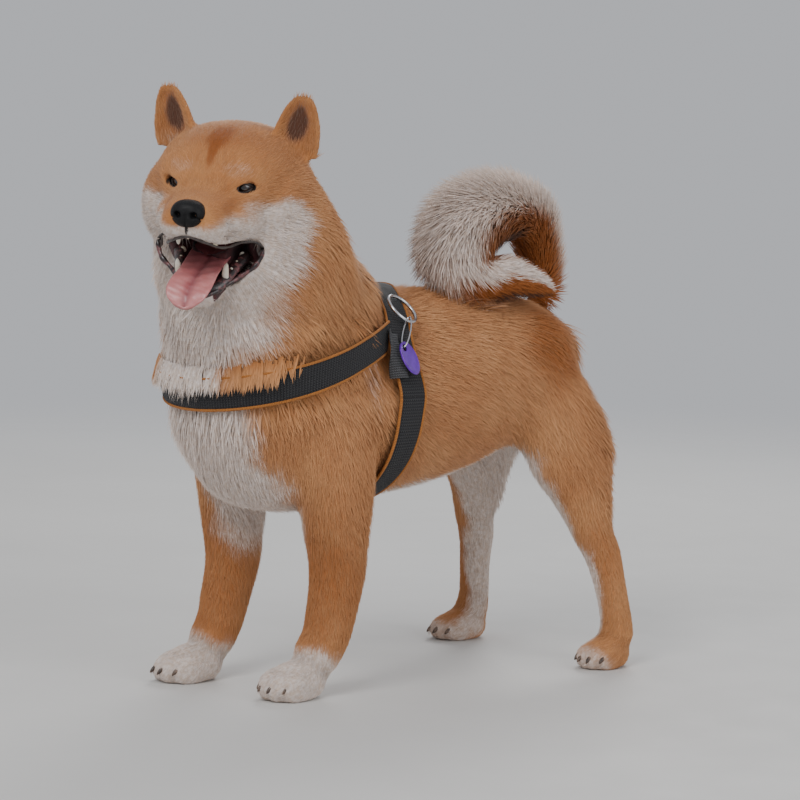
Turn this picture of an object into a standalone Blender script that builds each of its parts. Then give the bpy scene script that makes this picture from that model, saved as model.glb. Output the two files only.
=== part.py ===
"""A life-size shiba inu standing square, mouth open, in a chest harness.

Metres, +Z up. The nose points to -Y, the animal's left side is +X, and the floor is Z = 0.
Body tables are in centimetres on a dog 39.5 cm high at the withers, and CM scales them.
"""

import math
import random

import bmesh
import bpy
import numpy as np
from mathutils import Matrix, Vector
from mathutils.bvhtree import BVHTree

# Driving dimensions
WITHERS = 0.395
CM = WITHERS / 39.5
GAP = 0.0003
SOLVER = "MANIFOLD"
COARSE = 0.0030
BODY_PASSES = 40
BODY_TRIANGLES = 4000
LEG_VOXEL = 0.0024
LEG_PASSES = 8
LEG_TRIANGLES = 2000
FINE = 0.0018
HEAD_PASSES = 22
HEAD_TRIANGLES = 3300
HEAD_AT = (2.1, -21.3, 53.7)
HEAD_YAW = math.radians(36.0)
HEAD_NOD = math.radians(5.0)
HEAD_ROLL = math.radians(3.5)
JAW_OPEN = math.radians(27.0)
JAW_HINGE = (1.0, -8.6)
EYE_RADIUS = 1.05
EYE_AT = (3.1, 6.9, -3.8)
EYE_TURN = math.radians(22.0)
EYE_OPENING = (1.95, 1.0)
EYE_SLANT = math.radians(14.0)

# Trunk: how far back, lowest, highest, half width
TRUNK = (
    (-16.5, 19.0, 35.0, 7.6),
    (-12.5, 17.6, 38.2, 8.8),
    (-6.0, 18.0, 39.0, 9.2),
    (2.0, 19.0, 38.8, 9.1),
    (9.0, 21.0, 38.3, 8.4),
    (14.0, 23.6, 38.1, 7.8),
    (17.5, 25.6, 37.6, 7.0),
    (19.8, 27.6, 36.4, 5.6),
)
# Neck and chest, from the skull down: x, y, z, half width, reach behind, reach in front
NECK = (
    (2.4, -19.6, 50.4, 7.2, 4.4, 6.4),
    (1.8, -18.7, 46.5, 9.2, 6.3, 9.2),
    (1.2, -17.3, 42.0, 10.2, 8.2, 11.0),
    (0.6, -15.6, 37.5, 10.2, 10.0, 11.8),
    (0.0, -14.0, 32.0, 10.0, 9.0, 11.6),
    (0.0, -13.4, 26.0, 9.4, 8.0, 11.0),
    (0.0, -12.6, 21.0, 8.0, 7.0, 8.6),
)
# Front leg of the left side, in the same columns
FORE_LEG = (
    (5.2, -12.5, 33.0, 3.8, 5.6, 6.4),
    (6.2, -13.0, 26.0, 3.8, 5.2, 5.6),
    (7.0, -12.6, 20.0, 3.5, 4.2, 4.0),
    (7.1, -12.3, 15.5, 3.0, 3.1, 3.0),
    (7.0, -12.0, 12.0, 2.7, 2.8, 2.7),
    (7.0, -12.5, 8.5, 2.4, 2.4, 2.5),
    (6.9, -13.2, 5.5, 2.3, 2.2, 2.3),
    (6.7, -14.3, 3.6, 2.4, 2.1, 2.3),
)
# Hind leg of the left side
HIND_LEG = (
    (3.3, 13.8, 33.0, 2.8, 4.4, 5.8),
    (4.8, 15.9, 28.0, 3.6, 5.2, 6.2),
    (5.8, 18.0, 25.2, 3.5, 5.0, 5.6),
    (6.7, 18.7, 21.5, 3.2, 4.8, 5.0),
    (7.5, 19.6, 17.8, 2.6, 3.3, 3.4),
    (8.5, 20.2, 14.0, 1.95, 2.2, 2.1),
    (9.2, 21.3, 11.2, 1.75, 2.0, 1.8),
    (9.8, 21.8, 8.5, 1.6, 1.6, 1.6),
    (10.3, 22.4, 5.0, 1.6, 1.55, 1.6),
    (10.5, 22.4, 3.0, 1.9, 1.6, 1.9),
)
# How far each right leg's floor point stands from the mirror of the left one: x, y
FORE_STEP = (0.2, -2.9)
HIND_STEP = (-0.4, -1.2)
# Paws: length, width, height, floor point ahead of the leg's end, toes out
FORE_PAW = (7.6, 5.6, 3.5, 2.2, 4.0)
HIND_PAW = (6.8, 4.9, 3.1, 1.4, 8.0)

# Head, in its own centimetres: forward of the ear line, lowest, highest, half width
CRANIUM = (
    (-7.2, -8.0, -1.2, 4.0),
    (-4.4, -10.0, 0.6, 6.2),
    (-1.0, -10.6, 1.4, 7.2),
    (2.4, -10.2, 1.4, 7.1),
    (5.0, -9.4, 0.6, 6.3),
    (6.9, -9.0, -1.2, 5.2),
    (8.3, -8.7, -3.0, 4.1),
    (10.2, -8.5, -3.9, 3.5),
    (12.4, -8.3, -4.3, 3.0),
    (14.0, -8.0, -4.7, 2.4),
)
# Soft masses of the head, each on both sides: centre and radii as x, forward, up
HEAD_MASSES = (
    ((4.5, 1.6, -6.4), (4.0, 5.4, 5.0)),
    ((3.7, 1.0, -10.0), (3.7, 4.2, 4.0)),
    ((2.7, 7.4, -6.7), (2.3, 4.4, 2.0)),
    ((2.3, 6.9, -2.1), (1.6, 1.4, 1.1)),
    ((1.6, 12.4, -6.9), (1.6, 2.4, 1.6)),
    ((3.1, 6.7, -3.9), (1.6, 1.3, 1.25)),
)
# Lower jaw, from its hinge forward along itself: distance, below, above, half width
JAW = (
    (0.0, -2.6, 0.2, 4.3),
    (4.0, -2.3, 0.1, 3.6),
    (7.5, -1.9, 0.0, 2.6),
    (11.2, -1.5, -0.1, 1.7),
)
# The hollow of the mouth in the skull and in the jaw
PALATE = (
    (2.0, -10.2, -8.0, 2.4),
    (5.0, -10.5, -7.6, 2.5),
    (9.0, -10.0, -7.4, 2.0),
    (12.6, -9.5, -7.5, 1.4),
)
MOUTH_FLOOR = (
    (1.5, -0.6, 1.0, 2.6),
    (4.0, -0.8, 1.2, 2.5),
    (7.5, -0.7, 1.2, 1.75),
    (10.0, -0.6, 1.0, 1.0),
)
# Lip edges of the left side: x, forward, up for the upper one, x, along, above for the lower
UPPER_LIP = (
    (4.3, 4.6, -9.0),
    (3.5, 7.5, -8.9),
    (2.9, 10.0, -8.8),
    (2.5, 12.0, -8.5),
    (1.6, 13.7, -8.0),
    (0.0, 14.4, -7.5),
)
LOWER_LIP = (
    (4.1, 3.9, 0.0),
    (3.1, 6.2, 0.0),
    (2.5, 8.4, 0.0),
    (1.8, 10.4, 0.0),
    (0.9, 11.3, 0.0),
    (0.0, 11.6, 0.0),
)
LIP_RADIUS = 0.24
# Tongue in the jaw's measures: x, along, above, half width, half thickness
TONGUE = (
    (0.0, 2.6, 0.0, 1.6, 0.45),
    (0.0, 5.0, 0.1, 1.6, 0.45),
    (-0.1, 7.4, 0.35, 1.45, 0.42),
    (-0.2, 9.4, 0.65, 1.4, 0.38),
    (-0.35, 11.2, 0.85, 1.75, 0.34),
    (-0.5, 12.6, 0.8, 2.05, 0.3),
    (-0.6, 13.5, 0.45, 1.85, 0.27),
    (-0.65, 14.0, 0.05, 1.2, 0.22),
)
# Teeth of the lower jaw: x, along, radius, height
TEETH = (
    (0.3, 10.75, 0.2, 0.45),
    (0.9, 10.55, 0.24, 0.5),
    (1.75, 9.5, 0.36, 1.4),
    (2.2, 8.0, 0.32, 0.6),
    (2.5, 6.6, 0.36, 0.7),
    (2.85, 5.2, 0.42, 0.8),
)
GUM = (
    (2.9, 4.6, 0.2),
    (2.4, 7.0, 0.2),
    (1.9, 8.9, 0.2),
    (1.5, 10.0, 0.2),
    (0.8, 10.6, 0.2),
    (0.0, 10.75, 0.2),
)
# Ear: share of the way up, half width, bow of the back, hollow of the front
EAR_BASE = (5.7, 0.9, -1.6)
EAR_TIP = (6.7, 1.5, 4.8)
EAR = (
    (0.0, 2.5, 1.9, 0.9),
    (0.3, 2.4, 1.7, 0.95),
    (0.55, 2.1, 1.35, 0.8),
    (0.78, 1.55, 0.95, 0.5),
    (0.93, 0.95, 0.55, 0.15),
)
EAR_OUT = math.radians(16.0)
NOSE_AT = (0.0, 14.2, -5.75)
NOSE_RADII = (1.62, 1.15, 1.25)
NOSTRIL = ((0.78, 15.2, -5.75), (0.36, 0.62, 0.3))

# Tail: x, y, z, radius in centimetres along its curl, and where it is parted
TAIL = (
    (0.0, 18.6, 35.6, 2.4),
    (0.0, 19.8, 38.4, 2.7),
    (0.2, 19.5, 42.0, 3.0),
    (0.7, 17.4, 45.4, 3.7),
    (1.2, 13.2, 46.6, 4.4),
    (2.0, 8.4, 45.4, 4.9),
    (3.0, 5.8, 42.4, 4.4),
    (4.2, 7.2, 40.4, 3.2),
    (5.1, 10.4, 40.0, 2.4),
    (5.6, 13.6, 39.4, 1.7),
    (5.8, 16.2, 38.6, 0.8),
)
TAIL_CUTS = (0.27, 0.60)

# Locks: share of each length where its section is, and the share of its width there
LOCK_SHAPE = ((0.0, 0.75), (0.38, 1.0), (0.74, 0.66))
# Brush of the tail: core and tips as shares of the radius, spacing, locks round, flatness
BRUSH = dict(core=0.55, spacing=5.8, around=5, ahead=1.6, broad=1.4, flat=0.26, seed=11)
# Ruff: columns, spacing, length, width, flatness, depth of root and height of tip in the coat
RUFF = dict(columns=10, spacing=5.0, length=7.0, broad=6.2, flat=0.17, root=-1.5, tip=0.15, seed=5)
RUFF_CORE = 0.9
RUFF_EASE = 3.0
RUFF_LIE = (0.0, 0.35, -0.94)
STRAP_LIFT = 0.8

# Harness
STRAP_WIDTH = 2.8
STRAP_THICK = 0.28
STRAP_CLEAR = 0.12
TRIM_RADIUS = 0.15
CHEST_STRAP = dict(centre=(0.0, -11.5), low=29.2, front=-24.5, rise=0.33, end=111.0)
# Girth strap: degrees up from the left flank, how far back
GIRTH_HEIGHT = 29.0
GIRTH_PATH = (
    (-90.0, -6.8),
    (-60.0, -6.6),
    (-30.0, -5.7),
    (0.0, -5.2),
    (30.0, -6.2),
    (60.0, -4.6),
    (90.0, -2.4),
)
KEEPER = dict(first=10.0, last=34.0, ahead=-1.5, width=1.7, clear=0.22)
RING = dict(back=-4.6, up=50.0, radius=1.7, wire=0.17, lift=0.3)
TAG_LINK = dict(slack=0.5, wire=0.08, half=0.5)
TAG = dict(
    long=1.75,
    wide=1.3,
    thick=0.18,
    hole=0.3,
    inset=0.5,
    tilt=22.0,
    back=-6.6,
    up=28.0,
    lift=0.9,
)

# Cuts that part the body: a point of each plane and its normal, in centimetres
NECK_CUT = ((0.0, -24.5, 32.9), (0.0, -0.33, 1.0))
HEAD_CUT = ((0.0, -2.5, -6.5), (0.0, 0.79, 0.613))
JAW_CUT = ((4.3, -9.3), math.radians(-65.0))
FORE_WEDGE = ((1.2, -5.0), (20.0, -5.0), (20.0, 27.5), (12.5, 27.5), (1.2, 15.0))
HIND_WEDGE = ((1.2, -5.0), (20.0, -5.0), (20.0, 27.5), (12.5, 27.5), (1.2, 19.0))
FORE_SPAN = (-30.0, -7.4)
HIND_SPAN = (11.6, 40.0)
WRIST = 4.6
HOCK = 4.0

MATERIALS = {
    "red_coat": ((0.50, 0.22, 0.075), 0.85, 0.0),
    "cream_coat": ((0.74, 0.64, 0.54), 0.85, 0.0),
    "dark_skin": ((0.03, 0.025, 0.025), 0.45, 0.0),
    "eye": ((0.02, 0.012, 0.008), 0.05, 0.0),
    "tongue": ((0.62, 0.24, 0.25), 0.35, 0.0),
    "tooth": ((0.80, 0.76, 0.66), 0.25, 0.0),
    "webbing": ((0.045, 0.047, 0.05), 0.75, 0.0),
    "grey_webbing": ((0.16, 0.165, 0.17), 0.75, 0.0),
    "orange_piping": ((0.72, 0.27, 0.06), 0.6, 0.0),
    "steel": ((0.62, 0.62, 0.64), 0.22, 1.0),
    "violet_tag": ((0.20, 0.03, 0.62), 0.25, 0.3),
}


def clear_scene():
    for obj in list(bpy.data.objects):
        bpy.data.objects.remove(obj)


def material(name):
    """The named Principled material, made on first use."""
    found = bpy.data.materials.get(name)
    if found:
        return found
    colour, roughness, metallic = MATERIALS[name]
    made = bpy.data.materials.new(name)
    made.use_nodes = True
    shader = made.node_tree.nodes["Principled BSDF"]
    shader.inputs["Base Color"].default_value = (*colour, 1.0)
    shader.inputs["Roughness"].default_value = roughness
    shader.inputs["Metallic"].default_value = metallic
    return made


def linked(name, mesh):
    obj = bpy.data.objects.new(name, mesh)
    bpy.context.scene.collection.objects.link(obj)
    return obj


def object_of(name, vertices, faces):
    """A mesh object with its faces turned outwards."""
    mesh = bpy.data.meshes.new(name)
    mesh.from_pydata([tuple(v) for v in vertices], [], [tuple(f) for f in faces])
    work = bmesh.new()
    work.from_mesh(mesh)
    bmesh.ops.recalc_face_normals(work, faces=work.faces)
    if work.calc_volume(signed=True) < 0:
        bmesh.ops.reverse_faces(work, faces=work.faces)
    work.to_mesh(mesh)
    work.free()
    return linked(name, mesh)


def bake(obj):
    """Puts the evaluated mesh in place of the object's own and drops its modifiers."""
    graph = bpy.context.evaluated_depsgraph_get()
    mesh = bpy.data.meshes.new_from_object(obj.evaluated_get(graph))
    obj.modifiers.clear()
    obj.data = mesh
    return obj


def copy_of(obj, name):
    return linked(name, obj.data.copy())


def boolean(target, tool, operation, keep=False):
    """Cuts, joins or crosses the target with the tool, which is then removed unless kept."""
    step = target.modifiers.new("step", "BOOLEAN")
    step.operation = operation
    step.solver = SOLVER
    step.object = tool
    bake(target)
    if not keep:
        bpy.data.objects.remove(tool)
    return target


def fuse(name, objects):
    """One closed surface from many overlapping closed ones."""
    base = objects[0]
    helpers = bpy.data.collections.new("helpers")
    for obj in objects[1:]:
        helpers.objects.link(obj)
    step = base.modifiers.new("union", "BOOLEAN")
    step.operation = "UNION"
    step.operand_type = "COLLECTION"
    step.collection = helpers
    step.solver = SOLVER
    bake(base)
    for obj in objects[1:]:
        bpy.data.objects.remove(obj)
    bpy.data.collections.remove(helpers)
    base.name = name
    return largest(base)


def largest(obj):
    """Keeps the biggest of the mesh's separate closed surfaces."""
    work = bmesh.new()
    work.from_mesh(obj.data)
    left = set(work.faces)
    shells = []
    while left:
        shell = {left.pop()}
        edge = list(shell)
        while edge:
            face = edge.pop()
            for side in face.edges:
                for other in side.link_faces:
                    if other in left:
                        left.discard(other)
                        shell.add(other)
                        edge.append(other)
        shells.append(shell)
    keep = max(shells, key=lambda faces: sum(face.calc_area() for face in faces))
    spare = [face for shell in shells if shell is not keep for face in shell]
    bmesh.ops.delete(work, geom=spare, context="FACES")
    work.to_mesh(obj.data)
    work.free()
    return obj


def inflated(obj, by):
    """A copy whose points move out along their normals."""
    grown = copy_of(obj, "grown")
    work = bmesh.new()
    work.from_mesh(grown.data)
    work.normal_update()
    for vertex in work.verts:
        vertex.co += vertex.normal * by
    work.to_mesh(grown.data)
    work.free()
    return grown


def cut_clear(obj, neighbour):
    """Takes the neighbour, grown by the gap, out of the object."""
    return largest(boolean(obj, inflated(neighbour, GAP), "DIFFERENCE"))


def above_plane(obj, point, normal):
    """Keeps the side of the plane its normal points to, less half a gap, and closes the cut."""
    work = bmesh.new()
    work.from_mesh(obj.data)
    normal = Vector(normal).normalized()
    geometry = [*work.verts, *work.edges, *work.faces]
    place = Vector(point) + normal * GAP / 2
    bmesh.ops.bisect_plane(work, geom=geometry, plane_co=place, plane_no=normal, clear_inner=True)
    rim = [edge for edge in work.edges if edge.is_boundary]
    bmesh.ops.holes_fill(work, edges=rim, sides=0)
    bmesh.ops.recalc_face_normals(work, faces=work.faces)
    work.to_mesh(obj.data)
    work.free()
    return obj


def below_plane(obj, point, normal):
    return above_plane(obj, point, -Vector(normal))


def smooth_rows(rows, steps):
    """Catmull-Rom curve through the rows, with this many spans to each pair."""
    rows = np.array(rows, float)
    padded = np.vstack([2 * rows[0] - rows[1], rows, 2 * rows[-1] - rows[-2]])
    out = []
    for i in range(1, len(padded) - 2):
        a, b, c, d = padded[i - 1 : i + 3]
        for t in np.arange(steps) / steps:
            line = 2 * b + (c - a) * t
            bend = (2 * a - 5 * b + 4 * c - d) * t**2 + (3 * b - a - 3 * c + d) * t**3
            out.append((line + bend) / 2)
    return np.array([*out, rows[-1]])


def section_axes(path):
    """Tangent of the path, and the side and rise axes across it, the side near +X."""
    tangent = np.gradient(path, axis=0)
    tangent /= np.linalg.norm(tangent, axis=1)[:, None]
    side = np.array([1.0, 0.0, 0.0]) - tangent * tangent[:, :1]
    side /= np.linalg.norm(side, axis=1)[:, None]
    return tangent, side, np.cross(side, tangent)


def tube_of(name, rings):
    """Joins rings of equal count into a closed tube with a fan at each end."""
    count = len(rings[0])
    vertices = [v for ring in rings for v in ring]
    faces = []
    for r in range(len(rings) - 1):
        for k in range(count):
            a, b = r * count + k, r * count + (k + 1) % count
            faces.append((a, b, b + count, a + count))
    start, end = len(vertices), len(vertices) + 1
    vertices += [np.mean(rings[0], axis=0), np.mean(rings[-1], axis=0)]
    base = (len(rings) - 1) * count
    for k in range(count):
        n = (k + 1) % count
        faces.append((n, k, start))
        faces.append((base + k, base + n, end))
    return object_of(name, vertices, faces)


def loft(name, rows, sides=24, steps=4, fullness=2.2, dome=0.5):
    """Closed tube through rows of x, y, z, half width, reach up the rise axis, reach down it.

    A section is a superellipse of that fullness, and each end closes with a dome as long as
    the share given of its half width. Rows are in centimetres.
    """
    rows = smooth_rows(rows, steps) * CM
    path = rows[:, :3]
    tangent, side, rise = section_axes(path)
    angle = np.arange(sides) * 2 * math.pi / sides
    across = np.sign(np.cos(angle)) * abs(np.cos(angle)) ** (2 / fullness)
    along = np.sign(np.sin(angle)) * abs(np.sin(angle)) ** (2 / fullness)

    def ring(i, share, ahead):
        reach = np.where(along > 0, rows[i, 4], rows[i, 5])
        rim = np.outer(across * rows[i, 3], side[i]) + np.outer(along * reach, rise[i])
        return path[i] + tangent[i] * ahead + rim * share

    ends = [(math.cos(a), math.sin(a)) for a in np.radians([30, 60, 82])]
    rings = [ring(0, share, -far * dome * rows[0, 3]) for share, far in reversed(ends)]
    rings += [ring(i, 1.0, 0.0) for i in range(len(rows))]
    rings += [ring(-1, share, far * dome * rows[-1, 3]) for share, far in ends]
    return tube_of(name, rings)


def level_row(y, low, high, half):
    """A loft row of a level body from its lowest and highest point."""
    reach = (high - low) / 2
    return (0.0, y, (low + high) / 2, half, reach, reach)


def sweep_rings(points, radius=None, sides=8, steps=4):
    """Rings of a round tube along points in centimetres, its radius a fourth column or one size."""
    rows = smooth_rows(points, steps) * CM
    path = rows[:, :3]
    radii = rows[:, 3] if radius is None else np.full(len(rows), radius * CM)
    tangent = np.gradient(path, axis=0)
    tangent /= np.linalg.norm(tangent, axis=1)[:, None]
    across = np.cross(tangent[0], [0.3, 0.2, 0.9])
    angle = np.arange(sides) * 2 * math.pi / sides
    rings = []
    for i in range(len(path)):
        across = across - tangent[i] * across.dot(tangent[i])
        across /= np.linalg.norm(across)
        other = np.cross(tangent[i], across)
        rim = np.outer(np.cos(angle), across) + np.outer(np.sin(angle), other)
        rings.append(path[i] + rim * radii[i])
    return rings


def sweep(name, points, radius=None, sides=8, steps=4):
    return tube_of(name, sweep_rings(points, radius, sides, steps))


def ellipsoid(name, centre, radii, turn=None, segments=24, rings=14):
    """Closed ellipsoid in centimetres, turned about its own centre by a rotation matrix."""
    work = bmesh.new()
    bmesh.ops.create_uvsphere(work, u_segments=segments, v_segments=rings, radius=1.0)
    mesh = bpy.data.meshes.new(name)
    work.to_mesh(mesh)
    work.free()
    turned = turn.to_4x4() if turn else Matrix.Identity(4)
    size = Matrix.Diagonal((*(radius * CM for radius in radii), 1.0))
    mesh.transform(Matrix.Translation(Vector(centre) * CM) @ turned @ size)
    return linked(name, mesh)


def joined(name, objects, remove=True):
    """One object that holds the meshes of them all."""
    work = bmesh.new()
    for obj in objects:
        work.from_mesh(obj.data)
        if remove:
            bpy.data.objects.remove(obj)
    mesh = bpy.data.meshes.new(name)
    work.to_mesh(mesh)
    work.free()
    return linked(name, mesh)


def from_head():
    """Places head measures, forward being -Y, in the world."""
    place = Matrix.Translation(Vector(HEAD_AT) * CM)
    turn = Matrix.Rotation(HEAD_YAW, 4, "Z") @ Matrix.Rotation(HEAD_NOD, 4, "X")
    return place @ turn @ Matrix.Rotation(HEAD_ROLL, 4, "Y")


def in_head(x, forward, up):
    """A head point as the x, y, z of head space."""
    return Vector((x, -forward, up))


def in_jaw(x, along, above):
    """A point of the open jaw in head space: it is turned down about the hinge."""
    c, s = math.cos(JAW_OPEN), math.sin(JAW_OPEN)
    return in_head(x, JAW_HINGE[0] + along * c + above * s, JAW_HINGE[1] - along * s + above * c)


def put_in_head(obj):
    obj.data.transform(from_head())
    return obj


def jaw_row(along, below, above, half, x=0.0):
    reach = (above - below) / 2
    return (*in_jaw(x, along, (below + above) / 2), half, reach, reach)


def head_forms():
    """The masses of the head."""
    skull = [level_row(-f, low, high, half) for f, low, high, half in CRANIUM]
    forms = [loft("skull", skull, sides=32, dome=0.35)]
    forms.append(loft("jaw", [jaw_row(*row) for row in JAW], sides=24, fullness=2.4))
    for way in (-1, 1):
        for (x, forward, up), radii in HEAD_MASSES:
            forms.append(ellipsoid("mass", in_head(way * x, forward, up), radii))
    return [put_in_head(form) for form in forms]


def leg_rows(table, side, step):
    """Leg stations of one side: the right one's step grows towards the floor."""
    way = 1 if side == "left" else -1
    top = table[0][2]
    rows = []
    for x, y, z, half, behind, front in table:
        share = 0.0 if side == "left" else ((top - z) / top) ** 0.6
        rows.append((way * x + step[0] * share, y + step[1] * share, z, half, behind, front))
    return rows


def paw_place(side, end, paw):
    """Where the paw stands on the floor and how it is turned."""
    turn = Matrix.Rotation(math.radians(paw[4]) * (1 if side == "left" else -1), 3, "Z")
    return Vector((end[0], end[1] - paw[3], 0.0)), turn


def paw_forms(side, end, paw):
    """Heel block and four toes about the leg's floor point, toes forward."""
    foot, turn = paw_place(side, end, paw)
    length, width, height = paw[:3]
    heel = (width * 0.44, length * 0.42, height * 0.62)
    forms = [ellipsoid("heel", foot + turn @ Vector((0, 0, height * 0.42)), heel, turn)]
    for across, reach in toe_places():
        spot = Vector((across * width, -reach * length, height * 0.34))
        toe = (width * 0.145, length * 0.27, height * 0.46)
        forms.append(ellipsoid("toe", foot + turn @ spot, toe, turn))
    return forms


def toe_places():
    """Across and ahead of the paw's centre, as shares of its width and length."""
    return ((-0.33, 0.18), (-0.115, 0.31), (0.115, 0.31), (0.33, 0.18))


def claw_forms(side, end, paw):
    """Short bent claws at the toe tips."""
    foot, turn = paw_place(side, end, paw)
    length, width, height = paw[:3]
    forms = []
    for across, reach in toe_places():
        root = Vector((across * width, -(reach + 0.18) * length, height * 0.42))
        line = []
        for ahead, down, radius in ((0.0, 0.0, 0.3), (0.8, 0.3, 0.08)):
            line.append((*(foot + turn @ (root + Vector((0, -ahead, -down)))), radius))
        forms.append(sweep("claw", line, sides=4, steps=1))
    return forms


def body_forms():
    forms = [loft("trunk", [level_row(*row) for row in TRUNK], sides=36, dome=0.55)]
    forms.append(loft("neck", NECK, sides=36, dome=0.4))
    return forms


def leg_forms(table, side, step, paw):
    rows = leg_rows(table, side, step)
    return [loft("leg", rows, sides=20, fullness=2.1, dome=0.6), *paw_forms(side, rows[-1], paw)]


def flesh(name, forms, voxel, passes, triangles):
    """One smooth closed surface round the forms, thinned to this many triangles."""
    body = joined(name, forms)
    remesh = body.modifiers.new("join", "REMESH")
    remesh.mode = "VOXEL"
    remesh.voxel_size = voxel
    soften = body.modifiers.new("soften", "SMOOTH")
    soften.factor = 0.5
    soften.iterations = passes
    bake(body)
    thin = body.modifiers.new("thin", "DECIMATE")
    thin.ratio = triangles / sum(len(face.vertices) - 2 for face in body.data.polygons)
    return largest(bake(body))


def wedge(outline, span, side, grow):
    """A prism between two distances back whose outline, across and up, is pushed out by grow."""
    way = 1 if side == "left" else -1
    centre = np.mean(outline, axis=0)
    points = []
    for y, off in zip(span, (-grow, grow)):
        for i, corner in enumerate(np.array(outline)):
            before = np.array(outline[i - 1]) - corner
            after = np.array(outline[(i + 1) % len(outline)]) - corner
            before, after = (v / np.linalg.norm(v) for v in (before, after))
            inward = before + after
            sine = abs(before[0] * after[1] - before[1] * after[0])
            place = corner - inward / sine * grow / CM
            points.append((way * place[0] * CM, y * CM + off, place[1] * CM))
    count = len(outline)
    faces = [tuple(range(count)), tuple(range(count, 2 * count))]
    for i in range(count):
        n = (i + 1) % count
        faces.append((i, n, n + count, i + count))
    return object_of("wedge", points, faces)


def head_plane(point, normal):
    """A plane given in head space as a world point and normal."""
    place = from_head()
    return place @ (in_head(*point) * CM), place.to_3x3() @ in_head(*normal)


def jaw_wedge(grow):
    """The space in front of the jaw's root and below the open mouth's middle."""
    (forward, up), lean = JAW_CUT
    corner = np.array([-forward, up])
    middle = -JAW_OPEN / 2
    ahead = np.array([-math.cos(middle), math.sin(middle)]) * 14
    down = np.array([-math.cos(lean - math.radians(50)), math.sin(lean - math.radians(50))]) * 14
    outline = [corner, corner + ahead, corner + ahead + down, corner + down]
    push = grow / CM
    corner_out = -(ahead + down) / np.linalg.norm(ahead + down) * push * 1.2
    vertices = []
    for x in (-9, 9):
        for spot in outline:
            y, z = spot + corner_out
            vertices.append((x * CM, y * CM, z * CM))
    faces = [(0, 1, 2, 3), (4, 5, 6, 7), (0, 1, 5, 4), (1, 2, 6, 5), (2, 3, 7, 6), (3, 0, 4, 7)]
    return put_in_head(object_of("jaw wedge", vertices, faces))


def mirrored(points):
    """A half line that ends on the middle plane, carried on to the other side."""
    return list(points) + [(-p[0], *p[1:]) for p in points[-2::-1]]


def eye_turn(way):
    """Turns an eye's own axes, gaze along -Y, outwards and to its slant."""
    out = Matrix.Rotation(way * EYE_TURN, 3, "Z")
    return out @ Matrix.Rotation(-way * EYE_SLANT, 3, "Y")


def eye_slot(way):
    """An almond prism that opens the lids in front of the eyeball."""
    wide, tall = (v / 2 for v in EYE_OPENING)
    outline = []
    for k in range(7):
        outline.append((wide * math.cos(math.pi * k / 6), tall * math.sin(math.pi * k / 6) ** 0.8))
    outline += [(x, -z * 0.8) for x, z in outline[-2:0:-1]]
    points = []
    for y in (-4.0, -0.25):
        points += [Vector((x, y, z)) for x, z in outline]
    count = len(outline)
    centre = in_head(way * EYE_AT[0], EYE_AT[1], EYE_AT[2])
    points = [(centre + eye_turn(way) @ p) * CM for p in points]
    faces = [tuple(range(count)), tuple(range(count, 2 * count))]
    for i in range(count):
        n = (i + 1) % count
        faces.append((i, n, n + count, i + count))
    return put_in_head(object_of("slot", points, faces))


def eyeball(name, way, grow=0.0, segments=12, rings=8):
    radius = EYE_RADIUS + grow / CM
    centre = in_head(way * EYE_AT[0], EYE_AT[1], EYE_AT[2])
    turn = eye_turn(way) @ Matrix.Rotation(math.radians(90), 3, "X")
    return put_in_head(ellipsoid(name, centre, (radius,) * 3, turn, segments, rings))


def ear(name, way):
    """A cup: each section is a bowed back and a shallower bowed front with thick rims."""
    base, tip = in_head(*EAR_BASE), in_head(*EAR_TIP)
    across_turn = Matrix.Rotation(EAR_OUT, 3, "Z")
    rings = []
    for share, half, back, hollow in smooth_rows(EAR, 2):
        centre = base.lerp(tip, share)
        angle = np.linspace(0, math.pi, 8)
        rear = [(half * math.cos(a), back * math.sin(a)) for a in angle]
        front = [(0.8 * half * math.cos(a), hollow * math.sin(a) - 0.12 * half) for a in angle[::-1]]
        ring = []
        for x, y in rear + front:
            spot = centre + across_turn @ Vector((x, y, 0.0))
            ring.append(np.array((way * spot[0], spot[1], spot[2])) * CM)
        rings.append(ring)
    tip_at = np.array((way * tip[0], tip[1], tip[2])) * CM
    rings.append([tip_at + (p - tip_at) * 0.35 + np.array((0, 0, -0.12 * CM)) for p in rings[-1]])
    return put_in_head(tube_of(name, rings))


def nose():
    centre = in_head(*NOSE_AT)
    pad = ellipsoid("nose", centre, NOSE_RADII, None, 14, 9)
    for way in (-1, 1):
        (x, forward, up), radii = NOSTRIL
        turn = Matrix.Rotation(way * math.radians(28), 3, "Z")
        turn = turn @ Matrix.Rotation(way * math.radians(25), 3, "Y")
        boolean(pad, ellipsoid("nostril", in_head(way * x, forward, up), radii, turn, 8, 6), "DIFFERENCE")
    return put_in_head(largest(pad))


def tongue():
    """A long blade, hollowed along its middle, with a round tip."""
    rings = []
    for x, along, above, half, thick in smooth_rows(TONGUE, 2):
        ring = []
        for k in range(10):
            angle = 2 * math.pi * k / 10
            c, s = math.cos(angle), math.sin(angle)
            trough = 0.35 * abs(c) ** 2 - (0.12 * math.exp(-((c / 0.25) ** 2)) if s > 0 else 0.0)
            ring.append(np.array(in_jaw(x + half * c, along, above + thick * s + trough)) * CM)
        rings.append(ring)
    return put_in_head(tube_of("tongue", rings))


def teeth():
    gum = [tuple(in_jaw(*p)) for p in mirrored(GUM)]
    forms = [sweep("lower_teeth", gum, 0.3, sides=4, steps=1)]
    for way in (-1, 1):
        for x, along, radius, height in TEETH:
            line = []
            for rise, share in ((-0.2, 1.0), (1.0, 0.25)):
                lean = 0.18 * rise * height
                spot = in_jaw(way * (x + lean * 0.5), along - lean, 0.2 + rise * height)
                line.append((*spot, radius * share))
            forms.append(sweep("tooth", line, sides=4, steps=1))
    return put_in_head(fuse("lower_teeth", forms))


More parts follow.
